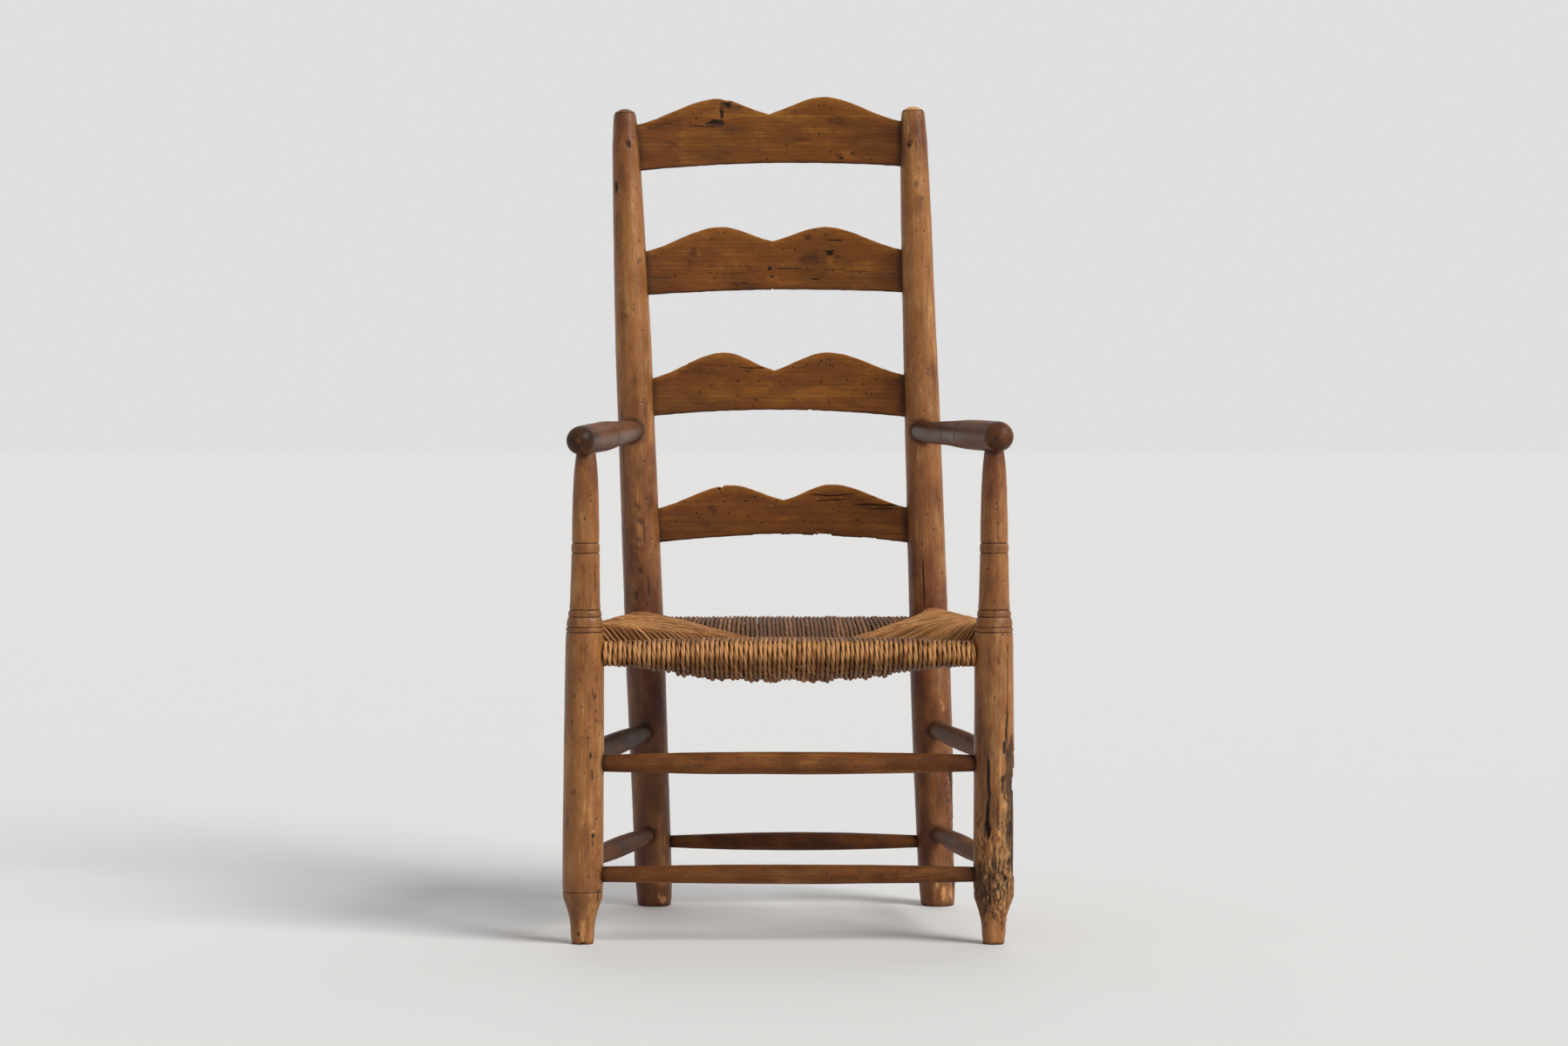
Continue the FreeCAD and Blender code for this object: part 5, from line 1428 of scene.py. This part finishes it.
# Colours of each kind of piece: where use has rubbed it, its main colour, its dark grain and
# old finish, and the old red stain that is left on it
TONES = {"light": "Where use has rubbed the %s", "middle": "Main colour of the %s",
         "dark": "Dark grain and old finish of the %s", "red": "Old stain left on the %s"}
WOODS = {
    "post": ("posts", ("#C0905A", "#996333", "#4E2D17", "#6C331A")),
    "slat": ("slats", ("#9C6526", "#794618", "#45250C", "#663212")),
    "arm": ("arms", ("#8A5630", "#673F22", "#352012", "#532A17")),
    "rung": ("stretchers", ("#A06C38", "#774722", "#402410", "#5E2F16")),
}


def colour_choice(name, description, hex_colour):
    return bpy.props.FloatVectorProperty(
        name=name, description=description, subtype="COLOR", size=3, min=0.0, max=1.0,
        default=linear(hex_colour))


class ChairWood(bpy.types.PropertyGroup):
    """Colours of the old wood"""

    __annotations__ = {
        wood + "_" + tone: colour_choice(tone.capitalize() + " " + pieces, words % pieces, colour)
        for wood, (pieces, colours) in WOODS.items()
        for (tone, words), colour in zip(TONES.items(), colours)}


class ChairRush(bpy.types.PropertyGroup):
    """Size and colours of the rush seat"""

    cord_diameter: bpy.props.FloatProperty(
        name="Cord diameter", description="Thickness of one twisted cord", unit="LENGTH",
        default=6.3 * MM, min=3 * MM, max=9 * MM)
    cord_lay: bpy.props.FloatProperty(
        name="Lay", description="Length along the cord of one full twist", unit="LENGTH",
        default=52 * MM, min=15 * MM, max=90 * MM)
    pad_fill: bpy.props.FloatProperty(
        name="Stuffing", description="How tightly the straw is packed", subtype="FACTOR",
        default=0.5, min=0.0, max=1.0)
    rush_light: colour_choice("Rubbed rush", "Where the rush is polished by use", "#E2A468")
    rush_middle: colour_choice("Rush", "Main colour of the rush", "#A26B3B")
    rush_dark: colour_choice("Dirty rush", "Dirt between the fibres", "#4C2C18")
    straw_light: colour_choice("Straw", "Colour of the stuffing", "#B5895A")


class ChairStage(bpy.types.PropertyGroup):
    """Floor and studio light"""

    floor_colour: colour_choice("Floor", "Colour of the floor", "#E9E8E6")
    key_strength: bpy.props.FloatProperty(
        name="Key light", description="Strength of the soft lamp at the right",
        default=2.6, min=0.0)
    key_softness: bpy.props.FloatProperty(
        name="Softness", description="How wide the lamp looks from the chair", unit="ROTATION",
        default=math.radians(28), min=0.0, max=math.radians(120))
    back_strength: bpy.props.FloatProperty(
        name="Back light", description="Strength of the wide lamp behind the chair",
        default=0.75, min=0.0)
    fill_strength: bpy.props.FloatProperty(
        name="Fill", description="Strength of the even light from all sides",
        default=0.28, min=0.0, max=1.0)
    backdrop: bpy.props.FloatProperty(
        name="Backdrop", description="How pale the backdrop looks",
        default=0.74, min=0.0, max=1.0)


SLATS = tuple(SLAT_MARKS)
CROSS_RUNGS = {"front": ("front_upper_stretcher", "front_lower_stretcher"), "back": ("back_stretcher",)}
SIDES = ("left", "right")

# The first seed of each kind of piece, and the size of the faces of its skin
POST_SEED, ARM_SEED, SIDE_RUNG_SEED, CROSS_RUNG_SEED, SLAT_SEED, RUSH_SEED, PAD_SEED = range(20, 90, 10)
POST_SKIN = (2.0 * MM, 144)
ARM_SKIN = (2.0 * MM, 96)
RUNG_SKIN = (2.4 * MM, 72)


def colours_of(context, wood):
    return [getattr(context.scene.chair_wood, wood + "_" + tone) for tone in TONES]


def finish_node(name, material):
    """Gives a node that keeps its own shape its material."""
    node = frame["nodes"][name]
    for slot in node.material_slots:
        slot.material = material
    if not node.material_slots:
        node.data.materials.append(material)


class CHAIR_OT_build_posts(bpy.types.Operator):
    """Turn the four posts with their wear"""

    bl_idname = "chair.build_posts"
    bl_label = "Posts"

    def execute(self, context):
        # Old fruitwood under a worn stain and wax: honey brown where rubbed, red-brown where the
        # stain is left, satin, with fine dark pores and worm holes
        material = old_wood("worn_stain_and_wax_on_fruitwood", colours_of(context, "post"),
                            (3.4 * MM, 0.35), 1.0 * MM, 0.30, (0.36, 0.3))
        places = [(level, side) for level in CROSS_RUNGS for side in SIDES]
        for seed, (level, side) in enumerate(places, POST_SEED):
            name = level + "_" + side + "_post"
            others = [side + part for part in ("_arm", "_upper_stretcher", "_lower_stretcher")]
            others += CROSS_RUNGS[level] + (SLATS if level == "back" else ())
            make_turned(name, (0, 0, 1), (0, -1, 0), material, "post_wood", *POST_SKIN, seed,
                        others, post_foot(name))
        return {"FINISHED"}


class CHAIR_OT_build_arms(bpy.types.Operator):
    """Turn the two arms"""

    bl_idname = "chair.build_arms"
    bl_label = "Arms"

    def execute(self, context):
        # Fruitwood with a dark red-brown polish that hands have made glossy
        material = old_wood("hand_polished_dark_stain", colours_of(context, "arm"), (4.0 * MM, 0.3),
                            1.1 * MM, 0.06, (0.40, 0.16))
        for seed, side in enumerate(SIDES, ARM_SEED):
            make_turned(side + "_arm", (0, 1, 0), (0, 0, 1), material, "arm_wood", *ARM_SKIN, seed,
                        ("front_" + side + "_post", "back_" + side + "_post"))
        return {"FINISHED"}


class CHAIR_OT_build_rungs(bpy.types.Operator):
    """Turn the seven stretchers"""

    bl_idname = "chair.build_rungs"
    bl_label = "Stretchers"

    def execute(self, context):
        # The same stain on the stretchers: darker, scuffed and nearly dull
        material = old_wood("scuffed_stain_on_fruitwood", colours_of(context, "rung"),
                            (3.2 * MM, 0.4), 0.9 * MM, 0.20, (0.55, 0.15))
        look = (material, "stretcher_wood", *RUNG_SKIN)
        side_rungs = [(side, height) for side in SIDES for height in ("upper", "lower")]
        for seed, (side, height) in enumerate(side_rungs, SIDE_RUNG_SEED):
            make_turned(side + "_" + height + "_stretcher", (0, 1, 0), (0, 0, 1), *look, seed,
                        ("front_" + side + "_post", "back_" + side + "_post"))
        cross_rungs = [(level, name) for level, names in CROSS_RUNGS.items() for name in names]
        for seed, (level, name) in enumerate(cross_rungs, CROSS_RUNG_SEED):
            make_turned(name, (1, 0, 0), (0, -1, 0), *look, seed,
                        (level + "_left_post", level + "_right_post"))
        return {"FINISHED"}


class CHAIR_OT_build_slats(bpy.types.Operator):
    """Shave the four slats and finish their pegs"""

    bl_idname = "chair.build_slats"
    bl_label = "Slats"

    def execute(self, context):
        # Riven boards under the same stain: even brown, waxed, with long soft grain round knots
        material = old_wood("waxed_stain_on_riven_slats", colours_of(context, "slat"),
                            (6.0 * MM, 0.65), 1.3 * MM, 0.10, (0.38, 0.19))
        for seed, name in enumerate(SLATS, SLAT_SEED):
            make_slat(name, material, seed)
        # Short pegs of the posts' wood with their end grain showing, dark all over
        _, middle, dark, red = colours_of(context, "post")
        pegs = old_wood("end_grain_of_pegs", (middle, dark, dark, red), (1.2 * MM, 0.3), 0.6 * MM,
                        0.0, (0.5, 0.25), END_GRAIN)
        finish_node("slat_pegs", pegs)
        return {"FINISHED"}


class CHAIR_OT_finish_rails(bpy.types.Operator):
    """Give the four seat rails under the rush their bare wood"""

    bl_idname = "chair.finish_rails"
    bl_label = "Seat rails"

    def execute(self, context):
        # Wood as it was shaved, dull and never waxed because the rush covers it
        for panel in PANELS:
            material = old_wood("bare_shaved_" + panel + "_rail", colours_of(context, "post"),
                                (3.0 * MM, 0.3), 1.0 * MM, 0.1, (0.6, 0.2),
                                "Y" if panel in SIDES else "X")
            finish_node(panel + "_seat_rail", material)
        return {"FINISHED"}


class CHAIR_OT_weave_rush(bpy.types.Operator):
    """Twist and lay the cords of the four panels"""

    bl_idname = "chair.weave_rush"
    bl_label = "Rush seat"

    def execute(self, context):
        # Twisted leaves of rush: matt straw brown, golden where rubbed, nearly black between
        rush = context.scene.chair_rush
        material = twisted_rush("hand_twisted_rush", rush.rush_light, rush.rush_middle, rush.rush_dark)
        for seed, panel in enumerate(WEAVES, RUSH_SEED):
            weave_panel(panel, material, seed, rush)
        return {"FINISHED"}


class CHAIR_OT_pack_straw(bpy.types.Operator):
    """Pack the straw between the two layers of rush"""

    bl_idname = "chair.pack_straw"
    bl_label = "Stuffing"

    def execute(self, context):
        # Dry straw that was never rubbed: a little greyer and darker than the rush
        rush = context.scene.chair_rush
        material = twisted_rush("dry_straw", rush.straw_light, rush.rush_middle, rush.rush_dark)
        for number, panel in enumerate(WEAVES):
            cords = lay_cords(panel, np.random.default_rng(RUSH_SEED + number))
            make_stuffing(panel, cords, material, PAD_SEED + number, rush.pad_fill)
        return {"FINISHED"}


class CHAIR_OT_set_stage(bpy.types.Operator):
    """Put up the floor, the light and the camera"""

    bl_idname = "chair.set_stage"
    bl_label = "Stage"

    def execute(self, context):
        stage = context.scene.chair_stage
        set_floor(context.scene, stage.floor_colour)
        set_light(context.scene, stage)
        set_camera(context.scene)
        return {"FINISHED"}


FLOOR_HALF = 60.0
FLOOR_MOTTLE = 0.4              # the width of its patches
CLIP_END = 100.0
LAMP_AWAY = 4.0
KEY_AZIMUTH = math.radians(56)  # from the front towards the right
KEY_HEIGHT = math.radians(36)
BACK_AZIMUTH = math.radians(172)
BACK_HEIGHT = math.radians(38)
BACK_SOFTNESS = math.radians(70)


def set_floor(scene, colour):
    mesh = bpy.data.meshes.new("studio_floor")
    corners = [(x * FLOOR_HALF, y * FLOOR_HALF, 0) for x, y in ((-1, -1), (1, -1), (1, 1), (-1, 1))]
    mesh.from_pydata(corners, [], [(0, 1, 2, 3)])
    floor = bpy.data.objects.new("studio_floor", mesh)
    scene.collection.objects.link(floor)
    # Matt painted board: even and pale, with a faint mottle
    material = bpy.data.materials.new("matt_white_floor")
    add = empty_nodes(material)
    place = add("TexCoord", out="Object")
    mottle = add("TexNoise", None, {"Vector": place, "Scale": 1 / FLOOR_MOTTLE, "Detail": 3.0})
    shade = add("MapRange", None, {"Value": mottle, 3: 0.0, 4: 0.04})
    tone = add("Mix", COLOUR,
               {FACTOR: shade, FIRST: opaque(colour), SECOND: opaque(colour, 0.8)}, MIXED)
    shader = add("BsdfPrincipled", None, {"Base Color": tone, "Roughness": 0.8})
    add("OutputMaterial", None, {"Surface": shader})
    mesh.materials.append(material)
    floor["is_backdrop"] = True


def hang_lamp(scene, name, azimuth, height, strength, softness):
    """A wide lamp far away, azimuth round to the right from the front of the chair."""
    light = bpy.data.lights.new(name, "SUN")
    light.energy = strength
    light.angle = softness
    lamp = bpy.data.objects.new(name, light)
    level = math.cos(height)
    away = Vector((math.sin(azimuth) * level, -math.cos(azimuth) * level, math.sin(height)))
    lamp.location = LAMP_AWAY * away
    lamp.rotation_euler = (-away).to_track_quat("-Z", "Y").to_euler()
    scene.collection.objects.link(lamp)
    return lamp


def set_light(scene, stage):
    hang_lamp(scene, "key_light", KEY_AZIMUTH, KEY_HEIGHT, stage.key_strength, stage.key_softness)
    # The back light only lifts the shadows: its glare would grey the wax and the rush
    back = hang_lamp(scene, "back_light", BACK_AZIMUTH, BACK_HEIGHT, stage.back_strength,
                     BACK_SOFTNESS)
    back.visible_glossy = False
    scene.world = bpy.data.worlds.new("studio")
    add = empty_nodes(scene.world)
    # The backdrop is pale to the eye and in gloss, and a weaker even fill for the rest
    path = add("LightPath").node.outputs
    seen = add("Math", MAXIMUM, {0: path["Is Camera Ray"], 1: path["Is Glossy Ray"]})
    seen = add("Math", MAXIMUM, {0: seen, 1: path["Is Transmission Ray"]})
    strength = add("MapRange", None, {"Value": seen, 3: stage.fill_strength, 4: stage.backdrop})
    shine = add("Background", None, {"Color": (1, 1, 1, 1), "Strength": strength})
    add("OutputWorld", None, {"Surface": shine})


def set_camera(scene):
    lens = bpy.data.cameras.new("photo_camera")
    lens.sensor_width = SENSOR_WIDTH
    lens.lens = PHOTO_FOCAL / PHOTO_WIDTH * SENSOR_WIDTH
    lens.clip_end = CLIP_END
    camera = bpy.data.objects.new("photo_camera", lens)
    camera.location = CAMERA_PLACE
    camera.rotation_euler = (math.pi / 2 - CAMERA_PITCH, 0.0, 0.0)
    scene.collection.objects.link(camera)
    scene.camera = camera
    scene.view_settings.view_transform = "Standard"


class CHAIR_PT_sidebar(bpy.types.Panel):
    """Steps that finish the chair"""

    bl_idname = "CHAIR_PT_sidebar"
    bl_label = "Ladderback armchair"
    bl_space_type = "VIEW_3D"
    bl_region_type = "UI"
    bl_category = "Chair"

    def draw(self, context):
        for group in GROUPS:
            column = self.layout.column()
            looks = getattr(context.scene, group)
            for key in looks.__annotations__:
                column.prop(looks, key)
        for step in STEPS:
            self.layout.operator(step.bl_idname)


GROUPS = {"chair_wood": ChairWood, "chair_rush": ChairRush, "chair_stage": ChairStage}
STEPS = (CHAIR_OT_build_posts, CHAIR_OT_build_arms, CHAIR_OT_build_rungs, CHAIR_OT_build_slats,
         CHAIR_OT_finish_rails, CHAIR_OT_weave_rush, CHAIR_OT_pack_straw, CHAIR_OT_set_stage)


def register():
    for made in (*GROUPS.values(), *STEPS, CHAIR_PT_sidebar):
        bpy.utils.register_class(made)
    for key, group in GROUPS.items():
        setattr(bpy.types.Scene, key, bpy.props.PointerProperty(type=group))


def unregister():
    for key in GROUPS:
        delattr(bpy.types.Scene, key)
    for made in reversed((*GROUPS.values(), *STEPS, CHAIR_PT_sidebar)):
        bpy.utils.unregister_class(made)


def plain(bounds):
    return [list(map(float, corner)) for corner in bounds]


def main():
    register()
    bpy.ops.chair.build_posts()
    bpy.ops.chair.build_arms()
    bpy.ops.chair.build_rungs()
    bpy.ops.chair.build_slats()
    bpy.ops.chair.finish_rails()
    bpy.ops.chair.weave_rush()
    bpy.ops.chair.pack_straw()
    bpy.ops.chair.set_stage()
    bpy.context.view_layer.update()
    sizes = {"cad": plain(cad_bounds), "visual": plain(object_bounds())}


if __name__ == "__main__":
    main()
